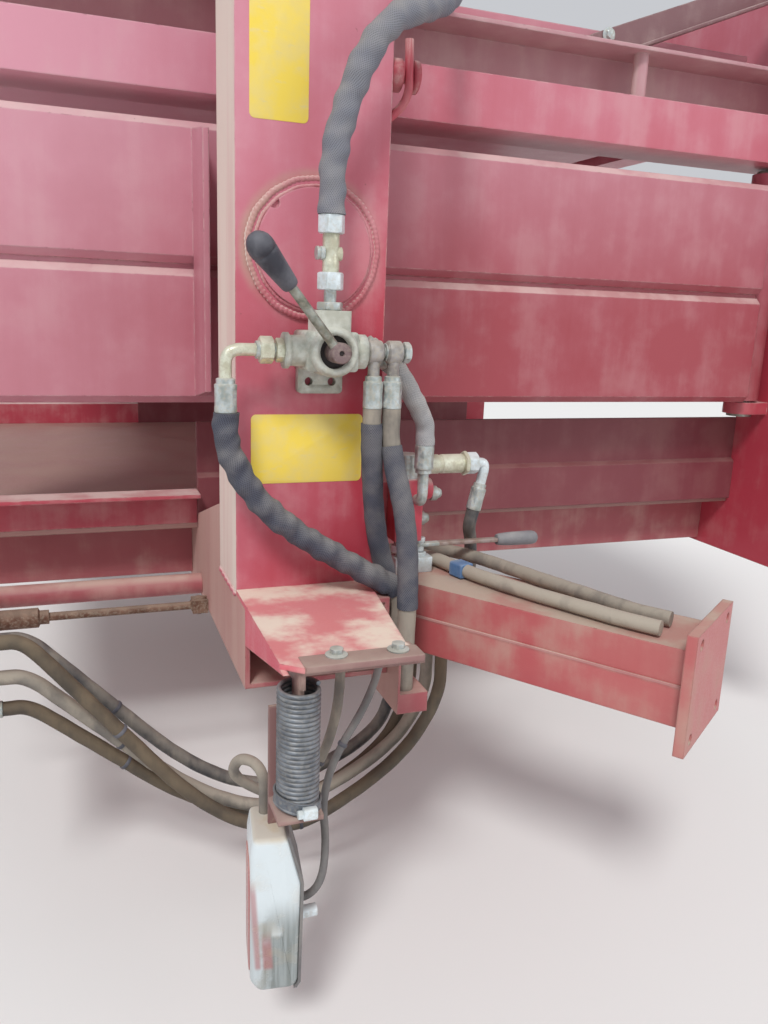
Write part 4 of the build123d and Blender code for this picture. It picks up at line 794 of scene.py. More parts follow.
FINISHES = {
    # Paints: fresh, faded and dust
    # Paints with a share of painted light are lighter high up and to the rear
    "frame_paint": FadedPaint(rgb(178, 64, 78), rgb(214, 150, 166), bleach=1.0, fade_share=0.46,
                              dust_share=0.14, mottle=0.7),
    # The post's pale dust colour and its rear faces' pale share are partly dust, partly painted light
    "post_paint": FadedPaint(rgb(178, 64, 78), rgb(214, 150, 166), rgb(224, 208, 196), bleach=1.0,
                             rear_dust=1.0, ring="side_ram_right", dust_share=0.16),
    # The channel's paint is made lighter as painted light, to make up for the shade under its lip; above the
    # channel's top, on the stay, painted shade darkens it
    "channel_paint": FadedPaint(rgb(172, 116, 124), rgb(198, 160, 164), rear_dust=0.4, rust=rgb(100, 70, 72),
                                worn_above=0.4215),
    # The lower panels' paint and dust are darker as painted shade under the doors
    "panel_paint": FadedPaint(rgb(112, 50, 58), rgb(138, 84, 88), rgb(150, 118, 110), fade_share=0.4,
                              dust_share=0.2, lying_dust=0.5),
    "lip_paint": FadedPaint(rgb(172, 62, 76), rgb(186, 92, 102), fade_share=0.3, dust_share=0.25),
    "beam_paint": FadedPaint(rgb(150, 70, 78), rgb(182, 116, 116), rgb(200, 176, 162), fade_share=0.35,
                             dust_share=0.35, rear_dust=0.6),
    "floor_paint": FadedPaint(rgb(150, 106, 102), rgb(160, 124, 116), rgb(176, 156, 142), dust_share=0.1,
                              lying_dust=0.35),
    "arm_paint": FadedPaint(rgb(172, 58, 70), rgb(190, 124, 118), rgb(184, 164, 148), fade_share=0.5,
                            dust_share=0.45, lying_dust=1.0),
    "shelf_paint": FadedPaint(rgb(204, 70, 90), rgb(214, 120, 132), rgb(228, 212, 194), fade_share=0.3,
                              dust_share=0.45, lying_dust=0.95, lying_least=0.26),
    "block_paint": FadedPaint(rgb(192, 66, 82), rgb(206, 102, 114), fade_share=0.3, dust_share=0.3),
    "strap_paint": FadedPaint(rgb(132, 96, 96), rgb(152, 118, 112), rgb(176, 158, 144), fade_share=0.5,
                              dust_share=0.5),
    "door_paint": FadedPaint(rgb(158, 72, 80), rgb(206, 146, 160), fade_share=0.60, dust_share=0.1,
                             bleach=0.85, mottle=0.6),
    # Metals: clean, dull, then how metallic, how rough, the pits' depth, how far an edge shows, and the
    # dust's share
    "zinc_plate": WornMetal(rgb(206, 214, 212), rgb(168, 176, 172), rough=0.3, dust_share=0.3),
    "bright_zinc": WornMetal(rgb(226, 236, 240), rgb(202, 212, 214), 0.4, 0.42, 0.0, 0.0, 0.3),
    "dusty_zinc": WornMetal(rgb(196, 204, 204), rgb(156, 164, 160), 0.6, 0.36, 0.00005, 0.0, 0.5),
    "worn_banjo": WornMetal(rgb(172, 170, 168), rgb(138, 132, 128), 0.5, 0.42, 0.0001, 0.0, 0.5),
    "yellow_zinc": WornMetal(rgb(222, 224, 204), rgb(194, 192, 168), 0.55, 0.34, 0.00004, 0.0, 0.45),
    "cast_valve": WornMetal(rgb(200, 203, 194), rgb(168, 170, 158), 0.25, 0.52, 0.0006, dust_share=0.4,
                            dust=rgb(186, 180, 164)),
    "bare_steel": WornMetal(rgb(164, 168, 160), rgb(120, 120, 108), rough=0.42, dust_share=0.3),
    "rusty_hub": WornMetal(rgb(128, 108, 108), rgb(96, 76, 74), 0.3, 0.6, 0.0004, dust_share=0.2),
    "rusty_bar": WornMetal(rgb(128, 98, 82), rgb(98, 66, 52), 0.3, 0.65, 0.0004, dust_share=0.35),
    "rusty_steel": WornMetal(rgb(158, 142, 138), rgb(132, 106, 98), 0.3, 0.55, dust_share=0.3),
    "rod_chrome": WornMetal(rgb(224, 226, 228), rgb(204, 206, 210), 1.0, 0.12, 0.00003, dust_share=0.12),
    # Rubbers and plastics: clean, dust, then the dust's share and how rough
    "hose_rubber": DustyRubber(dust_share=0.15),
    "dusty_rubber": DustyRubber(dust_share=0.62),
    "pale_rubber": DustyRubber(dust=rgb(170, 160, 146), dust_share=0.85),
    "bundle_rubber": DustyRubber(rgb(62, 57, 52), rgb(116, 103, 86), 0.42),
    "cable": DustyRubber(rgb(74, 74, 80), rgb(142, 138, 134), 0.35),
    "grip_plastic": DustyRubber(rgb(58, 58, 66), rgb(128, 128, 134), 0.12, 0.38),
    "grey_grip": DustyRubber(rgb(108, 108, 114), rgb(156, 154, 152), 0.3),
    "blue_clip": DustyRubber(rgb(62, 108, 160), rgb(140, 152, 166), 0.3, 0.4),
    # Sleeves: thread, gap, dust and its share
    "dark_sleeve": WovenSleeve(rgb(80, 83, 96), rgb(46, 48, 58), dust_share=0.13),
    "grey_sleeve": WovenSleeve(rgb(122, 126, 140), rgb(84, 86, 98), dust_share=0.3),
    "pale_sleeve": WovenSleeve(rgb(156, 159, 168), rgb(118, 120, 128), rgb(196, 190, 182), 0.5),
    # The rest: dark discs painted as the shade in the valve's seat and the hub's socket, the lamps' springs
    # and plastics, and the blank plates' film
    "seal": DustyRubber(rgb(40, 36, 38), rgb(72, 64, 62), 0.2),
    "spring_steel": WornMetal(rgb(126, 132, 140), rgb(98, 103, 111), 0.6, 0.4, 0.00005, dust_share=0.26),
    "lamp_housing": MilkyPlastic(),
    # The red lens's darker red low down is painted shade
    "red_lens": MilkyPlastic(rgb(182, 112, 108), rgb(182, 136, 122), rgb(164, 84, 82)),
    "plate_film": BlankPlate(),
}

# The finish of the CAD nodes whose names start like this, the first that fits. The others have their slot's
# own.
NODE_FINISHES = {
    "top_channel": "channel_paint", "lower_panel": "panel_paint", "floor_lips": "lip_paint",
    "post_": "post_paint",
    "floor_plate": "floor_paint", "draw_rod": "rusty_bar", "hose_clamp": "beam_paint", "arm": "arm_paint",
    "cross_beam": "beam_paint", "floor_": "beam_paint", "under_tubes": "beam_paint",
    "lamp_shelf": "shelf_paint",
}


@dataclass
class Finishes:
    """Every material of the object, made once, each an attribute under its own name."""

    def __post_init__(self) -> None:
        """Build them all."""
        for name, finish in FINISHES.items():
            setattr(self, name, finish.build(name))

    def of_node(self, node: str, slot: str) -> Material:
        """The material of a CAD node, from its name or else from its slot in the record.

        Args:
            node: The node's name.
            slot: The record's material slot.

        Returns:
            The material.
        """
        for start, name in NODE_FINISHES.items():
            if node.startswith(start):
                return getattr(self, name)
        return getattr(self, "zinc_plate" if slot == "zinc" else slot)


# The object's pieces


ARM_FOOT = (90.0, -60.0)
ARM_DIRECTION = (math.cos(math.radians(55)), math.sin(math.radians(55)))


@dataclass
class Places:
    """Where things are, read from the frame's own boxes."""

    hub_under_boss: float = 0.045

    def __post_init__(self) -> None:
        """Read the right leg's middle, its outer face, and the lever's hub."""
        low, _, middle = box_of("post_right")
        self.post_x = middle[0]
        self.post_face = -low[1]
        self.hub_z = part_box("selector_valve")[1][2] - self.hub_under_boss

    def line(self, points: Sequence[Point]) -> Array:
        """Points given by three measures in millimetres, as places in metres, of shape (n, 3).

        Args:
            points: Millimetres from the leg's middle, out from its outer face, and up from the lever's hub.

        Returns:
            The same points, on the right side.
        """
        x, out, z = np.asarray(points, dtype=float).T / 1000
        return np.stack([self.post_x + x, -self.post_face - out, self.hub_z + z], axis=-1)

    def at(self, x: float, out: float, z: float) -> Array:
        """One such point."""
        return self.line([(x, out, z)])[0]

    def on_arm(self, run: float, offset: float, level: float) -> Point:
        """Such a point in millimetres, at a distance along the arm, another one to its side, and a level."""
        along, across = ARM_DIRECTION
        return (ARM_FOOT[0] + along * run + across * offset, ARM_FOOT[1] + across * run - along * offset,
                level)


@dataclass
class SmoothCopy:
    """A CAD piece's own shape with its loose triangles joined up, so that its round faces look round."""

    node: str
    finish: Material
    slot: str
    sharp: float = 32.0
    weld_distance: float = 0.00002

    def build(self) -> None:
        """Copy the node's mesh, join its points and let the copy stand for the node."""
        source = bpy.data.objects[self.node]
        mesh = source.data.copy()
        mesh.name = self.node + "_smooth"
        mesh.transform(source.matrix_world)
        shape = bmesh.new()
        shape.from_mesh(mesh)
        bmesh.ops.remove_doubles(shape, verts=shape.verts, dist=self.weld_distance)
        shape.to_mesh(mesh)
        shape.free()
        mesh.materials.clear()
        mesh.materials.append(self.finish)
        piece = placed(mesh, self.sharp)
        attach(piece, "frame")
        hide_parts(self.node)


FERRULE_ROWS = np.array([  # distance in millimetres, share of the radius, depth of the lands
    (0.0, 0.66, 0.0), (0.4, 0.72, 0.0), (1.0, 0.84, 0.0), (5.6, 0.84, 0.0), (6.2, 0.86, 0.0), (7.0, 0.98, 0.0),
    (7.8, 1.0, 0.0), (10.0, 1.0, 0.0), (12.0, 0.99, 0.05), (20.0, 0.985, 0.06), (30.0, 0.99, 0.05),
    (32.0, 1.0, 0.0), (36.0, 1.0, 0.0), (37.4, 0.98, 0.0), (38.0, 0.93, 0.0), (37.2, 0.86, 0.0),
])


@dataclass
class Fitting(Shell):
    """A shell of hydraulic fittings: nuts, turned lengths, bent tubes and pressed ferrules, in millimetres."""

    places: Places | None = None

    def nut(self, start: Point, end: Point, across_flats: float, finish: Material) -> None:
        """A hexagon nut between two points."""
        first, last = self.places.line((start, end))
        self.add(hexagon_between(first, last, across_flats / 1000), finish)

    def shaft(self, start: Point, end: Point, profile: Profile, finish: Material) -> None:
        """A turned length: the profile's (distance, radius), from a point towards another."""
        first, last = self.places.line((start, end))
        self.add(turned(np.array(profile) / 1000, first, last - first, outline_of_circle(40)), finish)

    def rod(self, start: Point, end: Point, diameter: float, finish: Material) -> None:
        """A plain round length with its two rims broken by half a millimetre."""
        length = float(np.linalg.norm(np.subtract(end, start)))
        radius, rim = diameter / 2, 0.5
        self.shaft(start, end,
                   [(0, radius - rim), (rim, radius), (length - rim, radius), (length, radius - rim)],
                   finish)

    def tube(self, points: Sequence[Point], diameter: float, finish: Material) -> None:
        """A bent tube through points."""
        path = curve_through(self.places.line(points), 60)
        self.add(carried(path, diameter / 2000 * outline_of_circle(28)), finish)

    def ferrule(self, start: Point, toward: Point, diameter: float, finish: Material) -> None:
        """A pressed ferrule, whose radius is cut by eight lands round it: R(1 - c (1 + cos 8a) / 2).

        Args:
            start: The face at its neck.
            toward: A point that it runs towards.
            diameter: Its diameter.
            finish: Its material.
        """
        first, last = self.places.line((start, toward))
        circle = outline_of_circle(64)
        angle = np.arctan2(circle[:, 1], circle[:, 0])
        lands = 1 - FERRULE_ROWS[:, 2:] * (1 + np.cos(8 * angle)) / 2
        sections = (FERRULE_ROWS[:, 1:2] * lands)[..., None] * circle * diameter / 2000
        direction = unit(last - first)
        path = first + FERRULE_ROWS[:, :1] / 1000 * direction
        self.add(carried(path, sections, axis_beside(direction)), finish)

    def stack(self, foot: Point, direction: Array, *rows: tuple[str, float, float, object, Material]) -> None:
        """Several of the above on one line.

        Args:
            foot: Where the line starts.
            direction: Which way it runs: X across the leg, Y out from it, Z up.
            rows: The kind, from and to along the line, the size or profile, and the finish.
        """
        for kind, start, end, size, finish in rows:
            getattr(self, kind)(foot + start * direction, foot + end * direction, size, finish)


# The bundle's hoses: how far in from the leg's face, their levels at the rear, at the lowest point and at
# the rise, and X at the clamp's row, all in millimetres
BUNDLE = ((46, -350, -696, -600, 212), (68, -404, -672, -584, 199), (90, -455, -690, -596, 184),
          (112, -372, -664, -576, 168))
BUNDLE_FINISHES = ("bundle_rubber", "dusty_rubber", "bundle_rubber", "hose_rubber")


@dataclass
class ValveStation:
    """The two valves' fittings and levers, and the fittings at the hoses' ends.

    Points are millimetres from the leg's middle, out from its outer face, and up from the lever's hub.
    """

    places: Places
    finishes: Finishes
    hub: Point = (8.0, 45.0, 0.0)

    def __post_init__(self) -> None:
        """Name the three platings."""
        self.dusty, self.bright, self.yellow = (getattr(self.finishes, name + "_zinc")
                                                for name in ("dusty", "bright", "yellow"))

    def kit(self, node: str) -> Fitting:
        """An empty fitting for a node."""
        return Fitting(node + "_dressed", places=self.places)

    def top(self) -> None:
        """Upper port: two nuts on a straight adapter with a capped test port, and the top hose's nut."""
        adapter = [(0, 8.6), (2, 9.5), (13, 9.5), (14, 9.1), (29, 9.1), (30, 9.5), (41, 9.5), (43, 8.8)]
        cap = [(0, 7.5), (4, 7.5), (5, 6.4), (6, 6.4), (6.6, 7.5), (9, 7.2)]
        kit = self.kit("top_fitting")
        kit.stack(self.hub, Z_AXIS, ("nut", 45, 54, 27, self.dusty), ("rod", 52, 69, 14, self.dusty),
                  ("nut", 67, 86, 27, self.bright), ("shaft", 85, 128, adapter, self.yellow),
                  ("nut", 127, 147, 27, self.bright))
        kit.stack((8, 45, 106), X_AXIS, ("rod", 0, 12, 15, self.yellow), ("shaft", -8, -17, cap, self.dusty))
        kit.build("zinc", "top_fitting")

    def left(self) -> None:
        """Left port: lock nut, union nut, a tube bent down, and the left hose's ferrule."""
        kit = self.kit("left_fitting")
        kit.stack(self.hub, -X_AXIS, ("nut", 53, 62, 24, self.yellow), ("rod", 61, 66, 16, self.dusty),
                  ("nut", 65, 80, 27, self.yellow), ("rod", 79, 84, 20, self.dusty))
        kit.tube([(-75, 45, 0), (-109, 45, 0), (-109, 45, -32)], 14, self.yellow)
        kit.ferrule((-109, 45, -31), (-109, 45, -60), 25, self.dusty)
        kit.build("zinc", "left_fitting")

    def right(self) -> None:
        """Right and rear ports: two banjo eyes on one bolt, both with stem and ferrule, and the rear neck."""
        banjo = self.finishes.worn_banjo
        eye = [(0, 9), (0.6, 10), (3, 13.2), (4, 13.5), (17, 13.5), (18, 13.2), (20.4, 10), (21, 9)]
        neck = [(0, 8.2), (5, 7.4), (7, 7.0), (19, 7.0)]
        kit = self.kit("right_fitting")
        kit.stack(self.hub, X_AXIS, ("rod", 41, 45, 20, self.dusty), ("rod", 43, 91, 12, self.dusty),
                  ("nut", 90, 98, 22, self.dusty))
        for face, stem in ((52, 62.5), (76, 86.5)):
            kit.stack((face, 45, 0), X_AXIS, ("shaft", 0, 21, eye, banjo), ("rod", -0.9, 0.6, 21, self.dusty))
            kit.stack((stem, 45, 0), -Z_AXIS, ("shaft", 9, 28, neck, banjo),
                      ("ferrule", 27, 60, 23, self.dusty))
        kit.rod((44, 18, 10), (61, 18, 10), 14, self.dusty)
        kit.ferrule((60, 18, 10), (100, 18, -20), 25, self.dusty)
        kit.build("zinc", "right_fitting")

    def slab(self, low: Point, high: Point, across: float, deep: float, corner: float) -> Array:
        """An upright block: a rectangle with round corners, drawn in a little at both ends.

        Args:
            low: Middle of its foot.
            high: Middle of its head.
            across: Size along X.
            deep: Size along Y.
            corner: Radius of its corners.

        Returns:
            A grid of points.
        """
        first, last = self.places.line((low, high))
        length = float(last[2] - first[2])
        soft = corner / 2500 * np.array([0, 0.3, 1])  # the ends round off over 0.4 of the corner's radius
        up = np.concatenate([soft, length - soft[::-1]])
        drawn = np.concatenate([soft[::-1], soft])
        cut = 1 - drawn[:, None] / np.array([across, deep]) * 2000
        outline = outline_of_panel(across / 1000, deep / 1000, corner / 1000)
        return carried(first + up[:, None] * Z_AXIS, outline * cut[:, None], X_AXIS)

    def block(self) -> None:
        """The second valve's bracket, its painted block and cap, and the shut-off's body with its pipe."""
        paint = self.finishes.block_paint
        kit = self.kit("valve_block")
        kit.add(self.slab((108, -64, -244), (108, -64, -176), 36, 8, 1.2), self.finishes.frame_paint)
        kit.add(self.slab((145.5, -48, -252), (145.5, -48, -168), 39, 40, 3.0), paint)
        kit.shaft((165, -48, -184), (182, -48, -184), [(0, 15), (14, 15), (16, 14.2), (17, 12.5)], paint)
        kit.stack((140, -44, 0), -Z_AXIS, ("rod", 251, 277, 16, self.dusty),
                  ("nut", 260, 270, 22, self.bright))
        kit.add(self.slab((157, -44, -297), (157, -44, -276), 54, 28, 3.0), self.bright)
        kit.shaft((169, -44, -277), (169, -44, -271), [(0, 9.5), (5, 9.5), (6, 8.5)], self.bright)
        kit.build("frame_paint", "valve_block")

    def block_fittings(self) -> None:
        """Dome nuts, the rear hose's inlet, and the long adapter with the branch hose's elbow."""
        dome = [(0, 9.2), (0.6, 10), (8.6, 10), (9.4, 8), (11, 7.4), (14, 6.5), (16, 4.8), (17, 2.4)]
        adapter = [(0, 13), (44, 13), (45, 12.2), (48, 12.2), (49, 13), (80, 13), (81, 12.4)]
        kit = self.kit("block_fittings")
        for x, level in ((182, -191), (165, -225)):
            kit.stack((x, -48, level), X_AXIS, ("shaft", 0, 17, dome, self.dusty))
        kit.ferrule((155, -10, -156), (155, -10, -118), 25, self.dusty)
        kit.tube([(155, -10, -155), (155, -10, -194), (155, -30, -194)], 14, self.dusty)
        kit.rod((147, -48, -169), (147, -48, -136), 30, self.dusty)
        kit.stack((0, -48, -151), X_AXIS, ("shaft", 147, 228, adapter, self.yellow),
                  ("nut", 228, 234, 30, self.yellow), ("nut", 234, 249, 27, self.bright))
        kit.tube([(248, -48, -151), (264, -48, -151), (257.4, -48, -179.6)], 14, self.bright)
        kit.ferrule((257.4, -48, -179.6), (248.4, -48, -218.6), 21, self.dusty)
        kit.build("zinc", "block_fittings")

    def selector_lever(self) -> None:
        """A rusty hub with two sockets in its face, a steel bar and a moulded grip."""
        middle, foot, tip = (8, 86, 0), (-52, 108, 67), (-96, 124, 114)
        seal = self.finishes.seal
        hub = [(0, 11), (0.5, 11.5), (30, 11.5), (31.2, 10.6), (31.5, 10.0), (31.5, 3.0), (29.0, 2.6)]
        grip = [(0, 7.6), (0.6, 8.4), (3, 9.4), (8, 10.0), (40, 13.2), (44, 13.7), (44.8, 13.3), (45.6, 13.3),
                (46.4, 14.0), (52, 14.2), (57, 13.4), (61, 11.4), (64, 9), (66, 6.4), (67, 3.4)]
        kit = self.kit("selector_lever")
        # Painted shade: dark discs at the bottom of the hub's socket and inside the valve's seat
        kit.stack((8, 0, 0), Y_AXIS, ("shaft", 64.5, 96, hub, self.finishes.rusty_hub),
                  ("rod", 92.6, 94.2, 5, seal), ("shaft", 64.6, 66.4, [(0, 18), (1.4, 18), (1.8, 17)], seal))
        kit.rod(middle, foot, 10.5, self.finishes.bare_steel)
        kit.shaft(foot, tip, grip, self.finishes.grip_plastic)
        kit.build("bare_steel", "selector_lever", body="selector_lever", sharp=40.0)

    def shutoff_lever(self) -> None:
        """A flat bar on its stem, held by a nut, with a dipped rubber grip."""
        grip = [(0, 6.6), (0.6, 7.4), (4, 8.4), (20, 9.6), (50, 10), (57, 9.8), (61, 8.6), (63.4, 6.6),
                (64, 4)]
        kit = self.kit("shutoff_lever")
        kit.stack((169, -44, 0), -Z_AXIS, ("rod", 270, 256, 12, self.bright),
                  ("nut", 257, 251, 14, self.bright))
        outline = outline_of_panel(0.005, 0.012, 0.0012, 3)
        for start, end, finish in ((159, 196, self.dusty), (196, 288, self.finishes.rusty_steel)):
            kit.add(carried(self.places.line([(start, -44, -261), (end, -44, -261)]), outline, Z_AXIS), finish)
        kit.shaft((286, -44, -261), (350, -44, -261), grip, self.finishes.grey_grip)
        kit.build("zinc", "shutoff_lever", body="shutoff_lever", sharp=40.0)

    def bundle_ends(self) -> None:
        """The pressed ferrules at both ends of the hose bundle, and the top hose's elbow."""
        kit = self.kit("bundle_ends")
        for across, rear, _, _, front in BUNDLE:
            kit.stack((0, -across, rear), -X_AXIS, ("rod", 405, 403, 15, self.dusty),
                      ("ferrule", 404, 366, 21, self.dusty))
            kit.ferrule((front, -across, -387), (front, -across, -425), 21, self.dusty)
        kit.build("zinc", "bundle_ends")
        elbow = self.kit("top_hose_elbow")
        elbow.ferrule((252, -278, 488), (252, -240, 488), 30, self.dusty)
        elbow.tube([(252, -277, 488), (252, -300, 488), (252, -300, 471)], 12, self.dusty)
        elbow.build("zinc", "top_hose_elbow")

    def build(self) -> None:
        """Make the valves' fittings and both levers."""
        self.top()
        self.left()
        self.right()
        self.block()
        self.block_fittings()
        self.selector_lever()
        self.shutoff_lever()


@dataclass
class Hose:
    """A held hose: its diameter, its route, and its finish and sleeve.

    The points are millimetres from the leg's middle, its outer face and the lever's hub, as part.py has them.
    """

    diameter: float
    points: list[Point]
    finish: str = "dusty_rubber"
    sleeve: str = ""
    sleeve_from: float = 0.0
    sleeve_to: float = 1.0
    over: float = 0.0012
    lumps: float = 0.0
    lump_pitch: float = 0.03


def bundle_route(across: float, rear: float, low: float, rise: float, front: float) -> list[Point]:
    """The route of one hose under the beam: back bracket, low point, rise, and up to the clamp's row."""
    return [(-366, -across, rear), (-335, -across, rear), (-60, -across, low), (140, -across, rise),
            (front, -across, -500), (front, -across, -425)]


def hose_table(places: Places) -> dict[str, list[Hose]]:
    """Every held hose by the node that it stands for."""
    arm_last = [[places.on_arm(run, offset, -286) for run in (360, 402)] for offset in (20, 58)]
    return {
        "top_hose": [Hose(25, [(8, 45, 147), (8, 45, 225), (50, 64, 342), (140, 24, 380), (252, -200, 488),
                               (252, -240, 488)], sleeve="grey_sleeve", over=0.0022, lumps=0.0009,
                          lump_pitch=0.036)],
        "left_hose": [Hose(24, [(-109, 45, -69), (-109, 45, -112), (-62, 45, -190), (70, 45, -272),
                                (108, 45, -290), (108, 45, -350), (108, 45, -410)],
                           sleeve="dark_sleeve", over=0.0024, lumps=0.0009, lump_pitch=0.032,
                           sleeve_to=0.74)],
        "valve_hose_1": [Hose(22, [(62.5, 45, -65), (62.5, 45, -110), (80, 20, -225), (107, 13, -300),
                                   (107, 13, -410)],
                              sleeve="dark_sleeve", sleeve_from=0.05, sleeve_to=0.72, over=0.0018,
                              lumps=0.0002)],
        "valve_hose_2": [Hose(22, [(86.5, 45, -65), (86.5, 45, -112), (105, 77, -215), (105, 77, -410)],
                              sleeve="dark_sleeve", sleeve_from=0.13, sleeve_to=0.70, over=0.0018,
                              lumps=0.0002)],
        "valve_hose_3": [Hose(22, [(90.4, 18, -12.8), (106.4, 18, -24.8), (155, -10, -90), (155, -10, -118)],
                              sleeve="pale_sleeve", lumps=0.0004)],
        "branch_hose": [Hose(18, [(248.9, -48, -216.6), (243.5, -48, -240), (276, -101, -282),
                                  (276, -101, -340)],
                             finish="hose_rubber")],
        "arm_hoses": [Hose(18, [(134, -86, -286), (190, -86, -286), (226, 56, -286), *arm_last[0]],
                           "pale_rubber"),
                      Hose(18, [(134, -110, -286), (236, -110, -286), *arm_last[1]], "dusty_rubber")],
        "hose_bundle": [Hose(18, bundle_route(*row), finish) for row, finish in zip(BUNDLE, BUNDLE_FINISHES)],
        "lamp_cables": [Hose(9, [(44, 150, -297), (44, 150, -365), (-24, 156, -470), (-22, 182, -550),
                                 (-34, 184, -594), (-64, 180, -600)], "cable"),
                        Hose(12, [(14, 100, -297), (14, 100, -440), (-40, 102, -530), (-118, 112, -478),
                                  (-114, 140, -434), (-92, 174, -434), (-92, 174, -486.5)], "dusty_rubber")],
    }


TIES = {"hose_bundle": (0.235, 0.60), "lamp_cables": (0.42,)}


@dataclass
class HeldHoses:
    """The hoses that both of their ends hold, with their woven sleeves, ties and clip."""

    places: Places
    finishes: Finishes
    sides: int = 28
    samples: int = 220
    own_lumps: float = 0.00012
    own_pitch: float = 0.05
    tie_width: float = 0.005
    tie_height: float = 0.0012
    clip_shares: tuple[float, ...] = (0.290, 0.293, 0.345, 0.348)

    def surface(self, path: Array, radius: float, lumps: float, pitch: float) -> Array:
        """A hose's surface: its radius swells by three waves of unequal lengths, that turn as they go along.

        Args:
            path: Points of its middle line.
            radius: Its radius.
            lumps: Height of the swellings.
            pitch: Distance from one to the next.

        Returns:
            A grid of points.
        """
        circle = outline_of_circle(self.sides)
        angle = np.arctan2(circle[:, 1], circle[:, 0])
        turns = FULL_TURN * distance_along(path)[:, None] / pitch
        wave = (np.sin(turns + angle) + 0.6 * np.sin(turns / 0.618 - 2 * angle + 1.0)
                + 0.5 * np.sin(turns / 2.3 + 2.0))
        return carried(path, (radius + lumps * wave)[..., None] * circle)

    def band(self, path: Array, share: float, radius: float) -> Array:
        """A tie's band round a hose: a short ring with round rims at a share of the hose's length."""
        reach = self.tie_width / 2 * np.array([-1.0, -0.9, -0.3, 0.3, 0.9, 1.0])
        centre = points_at(path, share * distance_along(path)[-1] + reach)
        rims = self.tie_height * np.array([-1.0, 0.7, 1.0, 1.0, 0.7, -1.0])
        return scaled(centre, radius + rims, outline_of_circle(32))

    def clip(self, path: Array) -> None:
        """The moulded clip on the arm's first hose: a rectangle with round corners along a short path."""
        middle = points_at(path, np.array(self.clip_shares) * distance_along(path)[-1])
        grid = scaled(middle, (0.88, 1, 1, 0.88), outline_of_panel(0.0195, 0.022, 0.003), Z_AXIS)
        Shell("hose_clip").add(grid, self.finishes.blue_clip).build("hose_rubber")

    def build(self) -> None:
        """Make every hose in the table, and the clip."""
        table = hose_table(self.places)
        for node, hoses in table.items():
            shell = Shell(node + "_dressed")
            ties = Shell(node + "_ties")
            for hose in hoses:
                path = curve_through(self.places.line(hose.points), self.samples)
                radius = hose.diameter / 2000
                shell.add(self.surface(path, radius, self.own_lumps, self.own_pitch),
                          getattr(self.finishes, hose.finish))
                if hose.sleeve:
                    first, last = (int(share * len(path)) for share in (hose.sleeve_from, hose.sleeve_to))
                    shell.add(self.surface(path[first:last], radius + hose.over, hose.lumps, hose.lump_pitch),
                              getattr(self.finishes, hose.sleeve))
                for share in TIES.get(node, ()):
                    ties.add(self.band(path, share, radius), self.finishes.grip_plastic)
            shell.build("hose_rubber", node, sharp=60.0)
            if ties.points:
                ties.build("hose_rubber", sharp=60.0)
        self.clip(curve_through(self.places.line(table["arm_hoses"][0].points), self.samples))


# The lamp's side view, in millimetres to the front of its middle and up from its top
LAMP_SIDE = [(-24, 0), (12, 0), (27, -56), (25, -176), (20, -184), (-18, -184), (-27, -171), (-27, -18)]


